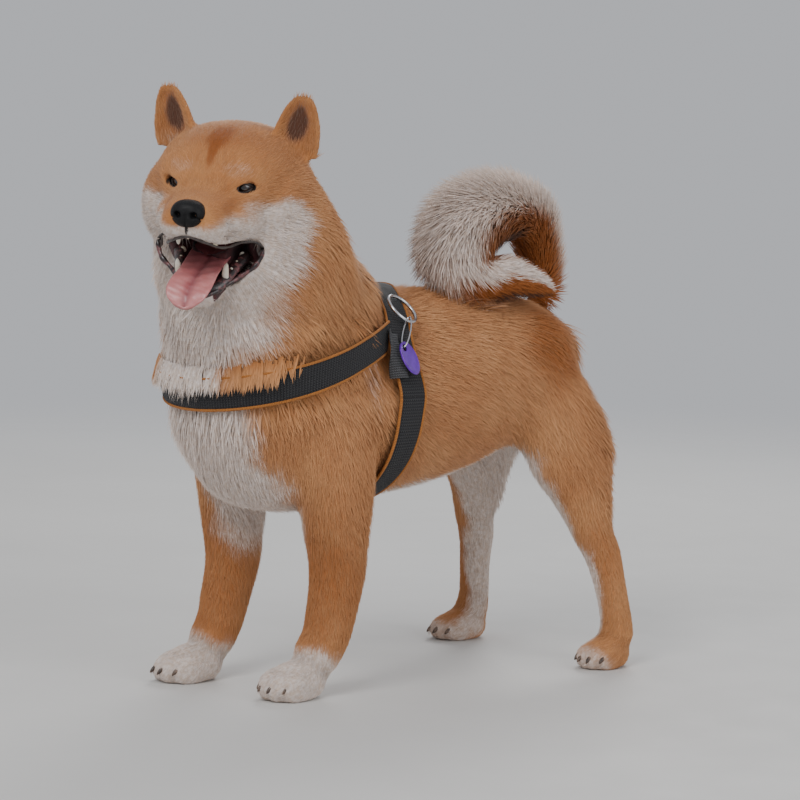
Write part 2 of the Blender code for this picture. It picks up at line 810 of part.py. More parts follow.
def finish(obj, name, look):
    """Names a node, gives it its material and shades it smooth by angle."""
    obj.name = name
    obj.data.materials.clear()
    obj.data.materials.append(material(look))
    for face in obj.data.polygons:
        face.material_index = 0
        face.use_smooth = True
    obj.data.set_sharp_from_angle(angle=math.radians(40))
    return obj


def make_head(body):
    """Head and jaw with their hollows, lips and eye sockets, then what they hold."""
    for name, way in (("left", 1), ("right", -1)):
        shell = cut_clear(ear(f"ear_{name}", way), body)
        finish(shell, f"ear_{name}", "red_coat")
    finish(cut_clear(nose(), body), "nose", "dark_skin")
    head = above_plane(body, *head_plane(*HEAD_CUT))
    rows = [level_row(-f, low, high, half) for f, low, high, half in PALATE]
    palate = loft("palate", rows, sides=14, steps=2)
    boolean(head, put_in_head(palate), "DIFFERENCE")
    floor = loft("floor", [jaw_row(*row) for row in MOUTH_FLOOR], sides=14, steps=2)
    boolean(head, put_in_head(floor), "DIFFERENCE")
    jaw = copy_of(head, "lower_jaw")
    boolean(head, jaw_wedge(GAP), "DIFFERENCE")
    largest(head)
    boolean(jaw, jaw_wedge(0.0), "INTERSECT")
    largest(jaw)
    upper = sweep("lip", [tuple(in_head(*p)) for p in mirrored(UPPER_LIP)], LIP_RADIUS, sides=6, steps=2)
    boolean(head, put_in_head(upper), "UNION")
    lower = sweep("lip", [tuple(in_jaw(*p)) for p in mirrored(LOWER_LIP)], LIP_RADIUS, sides=6, steps=2)
    boolean(jaw, put_in_head(lower), "UNION")
    cut_clear(jaw, head)
    for name, way in (("left", 1), ("right", -1)):
        boolean(head, eyeball("socket", way, GAP), "DIFFERENCE")
        boolean(head, eye_slot(way), "DIFFERENCE")
        finish(eyeball(f"eye_{name}", way), f"eye_{name}", "eye")
    largest(head)
    blade = cut_clear(tongue(), jaw)
    fangs = cut_clear(cut_clear(teeth(), jaw), blade)
    finish(blade, "tongue", "tongue")
    finish(fangs, "lower_teeth", "tooth")
    finish(head, "head", "red_coat")
    finish(jaw, "lower_jaw", "cream_coat")
    return head


def make_leg(table, side, step, paw, outline, span, joint, name):
    """One leg and its paw, cut from flesh that runs on into the trunk."""
    forms = [*leg_forms(table, side, step, paw), *body_forms()]
    whole = flesh(f"{name}_{side}", forms, LEG_VOXEL, LEG_PASSES, LEG_TRIANGLES)
    boolean(whole, wedge(outline, span, side, -GAP / 2), "INTERSECT")
    largest(whole)
    foot = copy_of(whole, "foot")
    above_plane(whole, (0, 0, joint * CM), (0, 0, 1))
    below_plane(foot, (0, 0, joint * CM), (0, 0, 1))
    end = leg_rows(table, side, step)[-1]
    foot = fuse("foot", [foot, *claw_forms(side, end, paw)])
    above_plane(foot, (0, 0, -GAP / 2), (0, 0, 1))
    finish(largest(whole), f"{name}_leg_{side}", "red_coat")
    finish(foot, f"{name}_paw_{side}", "cream_coat")


def lock(line, outward, broad, flat, grow=0.0):
    """A flat tapered lock along a line of points, pointed at its far end, all in metres.

    A section is a diamond, broad across the line and flat along the outward way.
    """
    line, outward = np.array(line), np.array(outward)
    shares = np.linspace(0, 1, len(line))
    along = np.gradient(line, axis=0)
    vertices = []
    for share, size in LOCK_SHAPE:
        spot, run, out = (
            np.array([np.interp(share, shares, row) for row in rows.T])
            for rows in (line, along, outward)
        )
        run /= np.linalg.norm(run)
        spot -= run * grow * (share == 0)
        side = np.cross(run, out)
        side /= np.linalg.norm(side)
        out = np.cross(side, run)
        out /= np.linalg.norm(out)
        half, thick = broad * size / 2 + grow, broad * size * flat / 2 + grow
        vertices += [spot + side * half, spot + out * thick, spot - side * half, spot - out * thick]
    vertices.append(line[-1] + along[-1] / np.linalg.norm(along[-1]) * grow)
    faces = [(3, 2, 1, 0)]
    last = len(vertices) - 1
    for first in range(0, last - 4, 4):
        faces += [(first + k, first + (k + 1) % 4, first + 4 + (k + 1) % 4, first + 4 + k) for k in range(4)]
    faces += [(last - 4 + k, last - 4 + (k + 1) % 4, last) for k in range(4)]
    return object_of("lock", vertices, faces)


def bent(start, middle, end, count=7):
    """Points of a quadratic curve from start to end."""
    t = np.linspace(0, 1, count)[:, None]
    return (1 - t) ** 2 * start + 2 * t * (1 - t) * middle + t**2 * end


def brush_locks(rows, span, grow):
    """Locks all round one length of the tail, swept towards its tip and out to its radius."""
    chance = random.Random(BRUSH["seed"])
    path, radii = rows[:, :3] * CM, rows[:, 3] * CM
    tangent, across, _ = section_axes(path)
    curl = path.mean(axis=0)
    far = np.concatenate([[0], np.cumsum(np.linalg.norm(np.diff(path, axis=0), axis=1))])
    made = []
    for number, reach in enumerate(np.arange(0.3 * CM, far[-1], BRUSH["spacing"] * CM)):
        centre, run = (np.array([np.interp(reach, far, row) for row in part.T]) for part in (path, tangent))
        run /= np.linalg.norm(run)
        radius = np.interp(reach, far, radii)
        away = centre - curl
        away -= run * away.dot(run)
        away /= np.linalg.norm(away)
        aside = np.cross(run, away)
        for k in range(BRUSH["around"]):
            angle = (k + number % 2 / 2) * 2 * math.pi / BRUSH["around"] + chance.uniform(-0.2, 0.2)
            size = radius * chance.uniform(0.9, 1.08) * (1.0 if math.cos(angle) > -0.4 else 0.72)
            out = away * math.cos(angle) + aside * math.sin(angle)
            if not span[0] <= reach / far[-1] < span[1]:
                continue
            start = centre + out * radius * 0.25 - run * radius * 0.3
            middle = centre + out * size * 0.85 + run * radius * 0.25
            end = centre + out * size + run * radius * BRUSH["ahead"]
            line = bent(start, middle, end)
            ways = np.tile(out, (len(line), 1))
            made.append(lock(line, ways, radius * BRUSH["broad"], BRUSH["flat"], grow))
    return made


def brush(name, span, grow=0.0):
    """One length of the tail: a core with its locks."""
    rows = smooth_rows(TAIL, 3)
    count = len(rows) - 1
    first, last = (round(share * count) for share in span)
    core = rows[first : last + 1].copy()
    core[:, 3] = core[:, 3] * BRUSH["core"] + grow / CM
    for end, inner in ((0, 1), (-1, -2)):
        away = core[end, :3] - core[inner, :3]
        core[end, :3] += away / np.linalg.norm(away) * grow / CM
    forms = [tube_of(name, sweep_rings(core, sides=8, steps=1)), *brush_locks(rows, span, grow)]
    return fuse(name, forms)


def make_tail(torso):
    """The curled brush in three lengths, each cut clear of those before it."""
    ends = (0.0, *TAIL_CUTS, 1.0)
    spans = list(zip(ends, ends[1:]))
    for number, name in enumerate(("tail_root", "tail_arch", "tail_tip")):
        length = cut_clear(brush(name, spans[number]), torso)
        for before in spans[:number]:
            largest(boolean(length, brush("before", before, 3 * GAP), "DIFFERENCE"))
        finish(length, name, "red_coat" if name == "tail_root" else "cream_coat")


def slimmed(neck):
    """Draws the neck's surface in under its locks, but not at the cuts to head and torso."""
    planes = [head_plane(*HEAD_CUT), (Vector(NECK_CUT[0]) * CM, Vector(NECK_CUT[1]))]
    work = bmesh.new()
    work.from_mesh(neck.data)
    work.normal_update()
    for vertex in work.verts:
        share = 1.0
        for point, normal in planes:
            near = abs((vertex.co - point).dot(normal.normalized())) / (RUFF_EASE * CM)
            share *= min(near, 1.0) ** 2 * (3 - 2 * min(near, 1.0))
        vertex.co -= vertex.normal * RUFF_CORE * CM * share
    work.to_mesh(neck.data)
    work.free()
    return neck


def neck_point(coat, angle, z):
    """The coat at this height in centimetres and this angle from the front."""
    table = np.array(NECK)[::-1]
    across, back = (np.interp(z, table[:, 2], table[:, column]) for column in (0, 1))
    out = Vector((math.sin(angle), -math.cos(angle), 0))
    return coat.ray_cast(Vector((across, back, z)) * CM + out * 0.3, -out)[0]


def walked(coat, start, lie, length, count=7):
    """Points and normals of a way over the coat that follows the lie as the surface allows."""
    points, ways = [], []
    spot = start
    for _ in range(count):
        spot, out = coat.find_nearest(spot)[:2]
        points.append(spot)
        ways.append(out)
        run = lie - out * lie.dot(out)
        spot = spot + run.normalized() * length / (count - 1)
    return points, ways


def ruff_locks(coat):
    """Locks that lie down the neck in staggered columns, the lowest ones over the strap."""
    chance = random.Random(RUFF["seed"])
    top_point, top_normal = head_plane(*HEAD_CUT)
    low_point, low_normal = Vector(NECK_CUT[0]) * CM, Vector(NECK_CUT[1]).normalized()
    made = []
    for column in range(RUFF["columns"]):
        angle = 2 * math.pi * column / RUFF["columns"]
        strapped = abs(math.remainder(angle, 2 * math.pi)) < math.radians(CHEST_STRAP["end"])
        z = NECK[0][2] + 4.0 - RUFF["spacing"] * (column % 2) / 2
        while z > NECK_CUT[0][2] + 0.5:
            z -= RUFF["spacing"]
            root = neck_point(coat, angle, z)
            near_head = (root - top_point).dot(top_normal) > -0.2 * CM
            if near_head or (root - low_point).dot(low_normal) < 0.9 * CM:
                continue
            lie = Vector(RUFF_LIE) + Vector((chance.uniform(-0.15, 0.15), 0, 0))
            points, ways = walked(coat, root, lie, RUFF["length"] * chance.uniform(0.85, 1.1) * CM)
            tip = RUFF["tip"] + chance.uniform(-0.15, 0.2)
            line = []
            for number, (point, out) in enumerate(zip(points, ways)):
                lift = RUFF["root"] + (tip - RUFF["root"]) * (number / (len(points) - 1)) ** 0.7
                past = 0.6 - (point - low_point).dot(low_normal) / CM
                lift += STRAP_LIFT * min(max(past, 0.0), 1.0) * strapped
                line.append(point + out * lift * CM)
            made.append(lock(line, ways, RUFF["broad"] * CM, RUFF["flat"]))
    return made


def make_ruff(neck, coat, torso, straps):
    """The neck with its locks, clear of the head, the torso and the straps."""
    neck = fuse("neck", [slimmed(neck), *ruff_locks(coat)])
    below_plane(neck, *head_plane(*HEAD_CUT))
    for other in (torso, *straps):
        cut_clear(neck, other)
    finish(largest(neck), "neck", "red_coat")


def surface_from(tree, origin, outward):
    """The outermost point of the body on a ray from an inner origin."""
    hit = tree.ray_cast(Vector(origin) + Vector(outward), -Vector(outward))[0]
    return np.array(hit) if hit else None


def eased(reach, closed):
    """Reaches raised to their neighbours' highest and then smoothed, along the first axis."""
    mode = "wrap" if closed else "edge"
    for kind in ("high", "mean", "mean"):
        padded = np.pad(reach, ((1, 1), (0, 0)), mode=mode)
        stack = np.stack([padded[:-2], padded[1:-1], padded[2:]])
        reach = stack.max(axis=0) if kind == "high" else stack.mean(axis=0)
    return reach


def band_lines(origins, outwards, reach, clear):
    """Inner and outer points of a strap's sections, from ray origins and reaches."""
    inner = origins + outwards * (reach + clear * CM)[..., None]
    return inner, inner + outwards * STRAP_THICK * CM


def band(name, inner, outer, closed):
    """A strap through the lines of inner and outer points."""
    sections = np.concatenate([inner, outer[:, ::-1]], axis=1)
    count, size = sections.shape[:2]
    faces = []
    for i in range(count if closed else count - 1):
        for k in range(size):
            a, b = i * size + k, i * size + (k + 1) % size
            c, d = ((i + 1) % count) * size + (k + 1) % size, ((i + 1) % count) * size + k
            faces.append((a, b, c, d))
    if not closed:
        faces.append(tuple(range(size)))
        faces.append(tuple((count - 1) * size + k for k in range(size)))
    return object_of(name, sections.reshape(-1, 3), faces)


def trim(name, inner, outer, edge, closed):
    """The edging beside one edge of a strap, of three sides."""
    middle = (inner[:, edge] + outer[:, edge]) / 2
    aside = inner[:, edge] - inner[:, 1]
    aside /= np.linalg.norm(aside, axis=1)[:, None]
    outward = outer[:, edge] - inner[:, edge]
    outward /= np.linalg.norm(outward, axis=1)[:, None]
    centre = middle + aside * (TRIM_RADIUS * CM + GAP)
    corners = []
    for turn in np.radians([-60.0, 60.0, 180.0]):
        rim = aside * math.cos(turn) + outward * math.sin(turn)
        corners.append(centre + rim * TRIM_RADIUS * CM)
    sections = np.stack(corners, axis=1)
    return band(name, sections[:, :2], sections[:, 2:], closed)


def girth_lines(angles, width, ahead=0.0):
    """Origins and directions of the rays that a strap round the chest follows."""
    angle = np.radians(angles)
    folded = np.degrees(np.arcsin(np.sin(angle)))
    path = np.array(GIRTH_PATH)
    y = np.interp(folded, path[:, 0], path[:, 1]) + ahead
    outwards = np.stack([np.cos(angle), 0 * angle, np.sin(angle)], axis=1)
    origins = np.zeros((len(angle), 3, 3))
    for k, offset in enumerate((-0.5, 0.0, 0.5)):
        origins[:, k] = np.stack([0 * y, y + offset * width, 0 * y + GIRTH_HEIGHT], axis=1)
    return origins * CM, np.repeat(outwards[:, None], 3, axis=1)


def chest_lines(count=28):
    """Origins and directions of the fan of rays that the chest strap follows."""
    end = math.radians(CHEST_STRAP["end"])
    angle = np.linspace(-end, end, count)
    outwards = np.stack([np.sin(angle), -np.cos(angle), 0 * angle], axis=1)
    y = CHEST_STRAP["centre"][1] - np.cos(angle) * np.where(np.cos(angle) > 0, 13.0, 10.0)
    z = CHEST_STRAP["low"] + CHEST_STRAP["rise"] * (y - CHEST_STRAP["front"])
    origins = np.zeros((count, 3, 3))
    for k, offset in enumerate((-0.5, 0.0, 0.5)):
        middle = CHEST_STRAP["centre"][1] + 0 * z
        origins[:, k] = np.stack([0 * z, middle, z + offset * STRAP_WIDTH], axis=1)
    return origins * CM, np.repeat(outwards[:, None], 3, axis=1)


def reach_of(tree, origins, outwards, closed):
    """How far out the body lies on each ray or just beside it, eased along the strap."""
    reach = np.zeros(origins.shape[:2])
    middle = origins[:, 1:2]
    aside = origins - middle
    wider = middle + aside * (1 + 2 * TRIM_RADIUS / (STRAP_WIDTH / 2))
    for starts in (origins, wider):
        for i in range(len(starts)):
            for k in range(3):
                hit = surface_from(tree, starts[i, k], outwards[i, k])
                reach[i, k] = max(reach[i, k], np.linalg.norm(hit - starts[i, k]))
    return eased(reach, closed)


def strap(name, tree, lines, closed, look, edged=True):
    """A strap on the surfaces of the tree, with its edging, as a list of nodes."""
    origins, outwards = lines
    reach = reach_of(tree, origins, outwards, closed)
    inner, outer = band_lines(origins, outwards, reach, STRAP_CLEAR if edged else KEEPER["clear"])
    made = [finish(band(name, inner, outer, closed), name, look)]
    for letter, edge in (("low", 0), ("high", 2)) if edged else ():
        piping = trim(f"{name}_trim_{letter}", inner, outer, edge, closed)
        made.append(finish(piping, f"{name}_trim_{letter}", "orange_piping"))
    return made


def ring_of(name, centre, long_way, wide_way, half_long, half_wide, wire, around, sides):
    """A closed oval of round wire in the plane of two directions, sized in centimetres."""
    axis = long_way.cross(wide_way).normalized()
    points = []
    for i in range(around):
        a = 2 * math.pi * i / around
        spot = centre + (long_way * half_long * math.cos(a) + wide_way * half_wide * math.sin(a)) * CM
        along = wide_way * half_wide * math.cos(a) - long_way * half_long * math.sin(a)
        away = along.cross(axis).normalized()
        for k in range(sides):
            b = 2 * math.pi * k / sides
            points.append(spot + (away * math.cos(b) + axis * math.sin(b)) * wire * CM)
    faces = []
    for i in range(around):
        for k in range(sides):
            a, b = i * sides + k, i * sides + (k + 1) % sides
            c, d = ((i + 1) % around) * sides + (k + 1) % sides, ((i + 1) % around) * sides + k
            faces.append((a, b, c, d))
    return finish(object_of(name, points, faces), name, "steel")


def perch(tree, back, up):
    """Point of the left side this far back and this many degrees up, and the way out there."""
    spots = []
    for dy, dup in ((0, 0), (1.2, 0), (-1.2, 0), (0, 8.0), (0, -8.0)):
        angle = math.radians(up + dup)
        origin = Vector((0.0, (back + dy) * CM, GIRTH_HEIGHT * CM))
        spots.append(Vector(surface_from(tree, origin, (math.cos(angle), 0, math.sin(angle)))))
    out = (spots[1] - spots[2]).cross(spots[3] - spots[4]).normalized()
    return spots[0], out if out.x > 0 else -out


def oval_plate(name, centre, down, side, half_long, half_wide, thick, count):
    """A flat oval prism sized in centimetres."""
    out = side.cross(down).normalized()
    points = []
    for off in (-thick / 2, thick / 2):
        for k in range(count):
            a = 2 * math.pi * k / count
            spot = down * half_long * math.cos(a) + side * half_wide * math.sin(a) + out * off
            points.append(centre + spot * CM)
    faces = [tuple(range(count)), tuple(range(count, 2 * count))]
    for k in range(count):
        n = (k + 1) % count
        faces.append((k, n, n + count, k + count))
    return object_of(name, points, faces)


def name_tag(hole, out, down):
    """An oval plate that hangs down from the middle of its hole."""
    side = down.cross(out).normalized()
    centre = hole + down * (TAG["long"] - TAG["inset"]) * CM
    plate = oval_plate("name_tag", centre, down, side, TAG["long"], TAG["wide"], TAG["thick"], 20)
    drill = oval_plate("drill", hole, down, side, TAG["hole"], TAG["hole"], 4 * TAG["thick"], 12)
    boolean(plate, drill, "DIFFERENCE")
    finish(plate, "name_tag", "violet_tag")


def make_harness(body):
    """Straps on the coat, keepers over their crossings, and the ring with its tag."""
    coat = tree_of(body)
    around = np.arange(0, 360, 12.0)
    straps = strap("girth_strap", coat, girth_lines(around, STRAP_WIDTH), True, "webbing")
    chest = strap("chest_strap", coat, chest_lines(), False, "webbing")
    straps += chest
    under = list(straps)
    over = tree_of([*body, *straps])
    for side in ("left", "right"):
        angles = np.linspace(KEEPER["first"], KEEPER["last"], 7)
        angles = angles if side == "left" else 180.0 - angles
        lines = girth_lines(angles, KEEPER["width"], KEEPER["ahead"])
        straps += strap(f"strap_keeper_{side}", over, lines, False, "grey_webbing", False)
    over = tree_of([*body, *straps])
    spot, out = perch(over, RING["back"], RING["up"])
    centre = spot + out * (RING["lift"] + RING["wire"]) * CM
    down = Vector((0, -0.3, -1))
    down = (down - out * out.dot(down)).normalized()
    radius, wire = RING["radius"], RING["wire"]
    ring_of("harness_ring", centre, down, down.cross(out), radius, radius, wire, 20, 5)
    low = centre + down * radius * CM
    spot = perch(over, TAG["back"], TAG["up"])[0]
    hole = spot + Vector((TAG["lift"] * CM, 0, 0))
    long_way = (low - hole).normalized()
    wide_way = (Vector((1, 0, 0)) - long_way * long_way.x).normalized()
    hang = Matrix.Rotation(math.radians(TAG["tilt"]), 3, "X") @ Vector((0, 0, -1))
    name_tag(hole, wide_way, (hang - wide_way * hang.dot(wide_way)).normalized())
    top = low + long_way * TAG_LINK["slack"] * CM
    half_long, half, wire = (top - hole).length / CM / 2, TAG_LINK["half"], TAG_LINK["wire"]
    ring_of("tag_ring", (top + hole) / 2, long_way, wide_way, half_long, half, wire, 14, 5)
    return under


def tree_of(objects):
    work = bmesh.new()
    for obj in objects:
        work.from_mesh(obj.data)
    tree = BVHTree.FromBMesh(work)
    work.free()
    return tree


def centre_on_floor():
    """Moves every node so that the whole stands centred over the origin."""
    parts = [obj for obj in bpy.context.scene.objects if obj.type == "MESH"]
    points = np.array([tuple(v.co) for obj in parts for v in obj.data.vertices])
    low, high = points.min(axis=0), points.max(axis=0)
    shift = Matrix.Translation((-(low[0] + high[0]) / 2, -(low[1] + high[1]) / 2, -low[2]))
    for obj in parts:
        obj.data.transform(shift)


def build():
    clear_scene()
    forms = [*body_forms(), *head_forms()]
    for side in ("left", "right"):
        forms += leg_forms(FORE_LEG, side, FORE_STEP, FORE_PAW)
        forms += leg_forms(HIND_LEG, side, HIND_STEP, HIND_PAW)
    torso = flesh("torso", forms, COARSE, BODY_PASSES, BODY_TRIANGLES)
    coat = copy_of(torso, "coat")
    neck = copy_of(torso, "neck")
    cut_at = Vector(NECK_CUT[0]) * CM
    above_plane(neck, cut_at, NECK_CUT[1])
    below_plane(neck, *head_plane(*HEAD_CUT))
    below_plane(torso, cut_at, NECK_CUT[1])
    for side in ("left", "right"):
        boolean(torso, wedge(FORE_WEDGE, FORE_SPAN, side, GAP / 2), "DIFFERENCE")
        boolean(torso, wedge(HIND_WEDGE, HIND_SPAN, side, GAP / 2), "DIFFERENCE")
        make_leg(FORE_LEG, side, FORE_STEP, FORE_PAW, FORE_WEDGE, FORE_SPAN, WRIST, "front")
        make_leg(HIND_LEG, side, HIND_STEP, HIND_PAW, HIND_WEDGE, HIND_SPAN, HOCK, "hind")
    finish(largest(torso), "torso", "red_coat")
    top = [loft("neck", NECK, sides=36, dome=0.4), *head_forms()]
    make_head(flesh("head", top, FINE, HEAD_PASSES, HEAD_TRIANGLES))
    make_tail(torso)
    straps = make_harness([coat])
    make_ruff(neck, tree_of([coat]), torso, straps)
    bpy.data.objects.remove(coat)
    centre_on_floor()


build()
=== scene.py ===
"""A life-size shiba inu in a chest harness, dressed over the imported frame.

Metres, +Z up, the nose towards -Y and the dog's left side +X. Tables are in centimetres: body
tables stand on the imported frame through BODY_AT, and head tables are x, forward of the ear
line, up, turned into place by head_point.
"""

import math

import bmesh
import bpy
import numpy as np
from bpy.props import FloatProperty, FloatVectorProperty, IntProperty, PointerProperty
from mathutils import Matrix


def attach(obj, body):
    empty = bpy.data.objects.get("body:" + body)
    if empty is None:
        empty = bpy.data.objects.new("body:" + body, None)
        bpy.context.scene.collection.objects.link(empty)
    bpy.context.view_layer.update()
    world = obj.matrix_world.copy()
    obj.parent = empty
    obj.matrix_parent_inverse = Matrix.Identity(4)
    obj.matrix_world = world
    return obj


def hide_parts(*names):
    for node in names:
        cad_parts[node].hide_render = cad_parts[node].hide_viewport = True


bl_info = {
    "name": "Shiba Inu in a Harness",
    "version": (1, 0, 0),
    "blender": (4, 5, 0),
    "location": "View3D > Sidebar > Shiba",
    "description": "Builds the coat, face and harness of a standing shiba inu over its frame",
    "category": "Object",
}

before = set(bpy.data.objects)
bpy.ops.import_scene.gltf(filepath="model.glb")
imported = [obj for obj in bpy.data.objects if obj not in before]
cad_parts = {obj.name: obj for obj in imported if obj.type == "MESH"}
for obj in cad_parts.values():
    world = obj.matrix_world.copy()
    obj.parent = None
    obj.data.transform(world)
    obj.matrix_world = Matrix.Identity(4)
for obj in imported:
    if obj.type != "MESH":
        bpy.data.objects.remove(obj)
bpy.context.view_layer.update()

CM = 0.01
BODY_AT = np.array((0.0018, 0.0506, 0.0))
HEAD_AT = np.array((2.1, -21.3, 53.7))
HEAD_YAW = math.radians(36.0)
HEAD_NOD = math.radians(5.0)
HEAD_ROLL = math.radians(3.5)
JAW_OPEN = math.radians(27.0)
JAW_HINGE = (1.0, -8.6)
EYE_AT = (2.9, 7.0, -3.85)
EYE_TURN = math.radians(13.0)
EYE_SLANT = math.radians(5.0)
FLESH = (
    "torso", "neck", "head", "lower_jaw", "ear_left", "ear_right",
    "front_leg_left", "front_leg_right", "hind_leg_left", "hind_leg_right",
    "front_paw_left", "front_paw_right", "hind_paw_left", "hind_paw_right",
)
BRUSH = ("tail_root", "tail_arch", "tail_tip")
CLOSE_GAP = 0.0005
SKIN_TRIANGLES = 180000
STRAP_REST = 0.009
NECK_AHEAD = (0.0, 0.05, 0.0)
SOFT_SHADE = 0.85
MAP_PATCH = 0.0015
# Height the legs start at, and how far ahead of the left ones the right fore and hind leg stand
LEG_TOP = 33.0
FORE_STEP = 2.9
HIND_STEP = 1.2

# Curl of the tail: x, y, z and the brush's radius
TAIL = (
    (0, 18.6, 35.6, 2.4), (0, 19.8, 38.4, 2.7), (0.2, 19.5, 42, 3), (0.7, 17.4, 45.4, 3.7),
    (1.2, 13.2, 46.6, 4.4), (2, 8.4, 45.4, 4.9), (3, 5.8, 42.4, 4.4), (4.2, 7.2, 40.4, 3.2),
    (5.1, 10.4, 40, 2.4), (5.6, 13.6, 39.4, 1.7), (5.8, 16.2, 38.6, 0.8),
)
TAIL_CORE = 0.42
TAIL_MIDDLE = (1.5, 12.6, 41.4)

# Lie of the coat: place, way the hair runs, length in millimetres, share of it that stands off
BODY_LIE = (
    ((0, -26, 44), (0, 0.1, -1), 40, 0.3),
    ((0, -25, 36), (0, 0.1, -1), 42, 0.32),
    ((9, -17, 43), (0.15, 0.4, -0.9), 40, 0.3),
    ((9, -12, 38), (0.1, 0.6, -0.8), 36, 0.28),
    ((1, -10, 48), (0, 0.8, -0.6), 36, 0.3),
    ((0, -4, 40), (0, 1, -0.1), 32, 0.22),
    ((0, 5, 39), (0, 1, 0), 26, 0.17),
    ((0, 15, 38), (0, 1, -0.1), 26, 0.18),
    ((9, -12, 32), (0, 0.4, -0.9), 26, 0.18),
    ((9, 0, 30), (0, 0.9, -0.4), 25, 0.16),
    ((8, 10, 29), (0, 0.8, -0.6), 25, 0.17),
    ((0, 0, 18), (0, 1, -0.2), 26, 0.22),
    ((0, 12, 21), (0, 1, -0.2), 24, 0.2),
    ((0, -24.5, 29), (0, 0.1, -1), 34, 0.26),
    ((0, -19, 20), (0, 0.7, -0.7), 28, 0.22),
    ((7, -15, 23), (0, 0.1, -1), 18, 0.14),
    ((7, -9, 20), (0, 0.5, -0.9), 26, 0.2),
    ((7, -13, 12), (0, 0.1, -1), 13, 0.12),
    ((7, -10, 12), (0, 0.5, -0.9), 17, 0.16),
    ((7, -14, 5), (0, -0.1, -1), 10, 0.1),
    ((7, -17.5, 2.5), (0, -0.8, -0.5), 9, 0.12),
    ((8, 15, 28), (0, 0.4, -0.9), 24, 0.17),
    ((6, 23, 27), (0, 0.6, -0.8), 36, 0.3),
    ((7, 22, 20), (0, 0.5, -0.9), 28, 0.25),
    ((8, 18, 17), (0, 0.3, -1), 16, 0.13),
    ((9, 21, 11), (0, 0.2, -1), 12, 0.11),
    ((10.3, 22, 6), (0, 0, -1), 10, 0.1),
    ((10.5, 20, 2.5), (0, -0.8, -0.5), 9, 0.12),
    ((0, 22, 33), (0, 0.3, -1), 32, 0.26),
)
# The same for the head, with places and ways as x, forward, up
HEAD_LIE = (
    ((0, 13, -4.4), (0, -1, 0.1), 4, 0.1),
    ((0, 10, -3.5), (0, -1, 0.2), 5, 0.1),
    ((0, 7.4, -1.4), (0, -0.6, 0.8), 7, 0.1),
    ((0, 4, 1.4), (0, -1, 0.3), 9, 0.1),
    ((3.5, 2.5, 1), (0.3, -1, 0.2), 10, 0.11),
    ((0, -1, 1.8), (0, -1, 0), 14, 0.13),
    ((4, -5, -1), (0.3, -0.9, -0.5), 22, 0.2),
    ((2.6, 12, -6.6), (0.35, -0.9, -0.2), 6, 0.1),
    ((3.4, 9, -6.6), (0.5, -0.9, -0.1), 8, 0.12),
    ((5, 6, -5), (0.6, -0.8, 0.1), 11, 0.14),
    ((6.2, 4, -8), (0.5, -0.8, -0.5), 18, 0.2),
    ((7.4, 1, -5), (0.5, -0.9, -0.2), 20, 0.2),
    ((7.4, -1, -9), (0.5, -0.8, -0.6), 34, 0.32),
    ((3.1, 7.4, -2), (0.6, -0.3, 0.7), 6, 0.1),
    ((2.6, 11, -8.8), (0.4, -0.8, -0.5), 6, 0.12),
    ((0, 10, -14), (0, -0.9, -0.3), 10, 0.14),
    ((3, 5, -13), (0.3, -0.8, -0.6), 18, 0.2),
    ((0, 2, -16), (0, -0.5, -0.9), 32, 0.26),
    ((5.7, 0.5, 1), (0.1, -0.1, 1), 8, 0.13),
    ((6.2, -0.6, 3), (0, 0, 1), 7, 0.1),
)

# Markings as centre, radii and strength: cream, rust and dark, of the body and of the head
BODY_CREAM = (
    ((0, -27.5, 45), (6.2, 7.5, 8), 1),
    ((0, -27, 37), (5.6, 6.5, 9), 0.95),
    ((0, -25, 27), (6.4, 7.5, 7), 1),
    ((0, -20, 21), (6.6, 9, 5), 1),
    ((0, -2, 17), (6.4, 26, 4.8), 0.9),
    ((0, 12, 20), (5.6, 9, 4.6), 1),
    ((7, -8.9, 12), (2.6, 1.9, 9), 0.8),
    ((7, -17.5, 0.8), (5.5, 7, 4), 1),
    ((4.8, 18, 16), (3, 7, 14), 1),
    ((8.2, 21.5, 8), (1.9, 3.4, 9), 0.8),
    ((7.5, 25.5, 20), (4.5, 3, 9), 0.75),
    ((10.4, 17, 0.2), (5, 3.4, 2.2), 0.6),
    ((0, 25.5, 30), (5, 4, 8), 0.9),
    ((10.5, -10, 33.5), (3, 1.6, 5), 0.3),
)
HEAD_CREAM = (
    ((2.9, 11.4, -8.2), (2.3, 4.2, 2), 1),
    ((0, 14, -7.9), (2.2, 2, 1.2), 0.9),
    ((4.9, 5.8, -9.6), (3, 4.2, 3.3), 1),
    ((0, 6, -14.8), (6, 9, 4.4), 1),
    ((6.2, 5.6, -6.9), (2.6, 3.2, 1.9), 0.85),
    ((4.2, 8.2, -6.2), (1.8, 2.2, 1.3), 0.45),
    ((2.6, 8.2, -2.2), (1.6, 1.7, 0.7), 0.22),
)
BODY_RUST = (
    ((6.5, 15, 34), (4, 4.5, 4), 0.6),
    ((0, 19, 37), (3.5, 3.5, 3), 0.8),
    ((8.5, -9, 36), (3, 4, 4), 0.4),
    ((7, -14, 12), (4, 4, 9), 0.45),
    ((10, 19, 9), (3, 3.5, 7), 0.3),
)
HEAD_RUST = (
    ((0, 7.2, -0.9), (0.45, 3.2, 1.7), 0.65),
    ((0.3, 5.6, 0.2), (0.75, 2.4, 1.3), 0.6),
    ((0, 5, 0.4), (3.5, 4, 1.6), 0.3),
    ((2.8, 11.2, -5.2), (0.4, 2.4, 0.9), 0.4),
    ((2, 9, -3.9), (0.6, 1.4, 0.5), 0.3),
)
HEAD_DARK = (
    ((3.15, 7.5, -3.85), (1.25, 1.6, 0.5), 1),
    ((4.4, 6.4, -3.7), (1, 1, 0.2), 0.9),
    ((0, 15, -7.3), (0.14, 0.8, 0.9), 1),
)
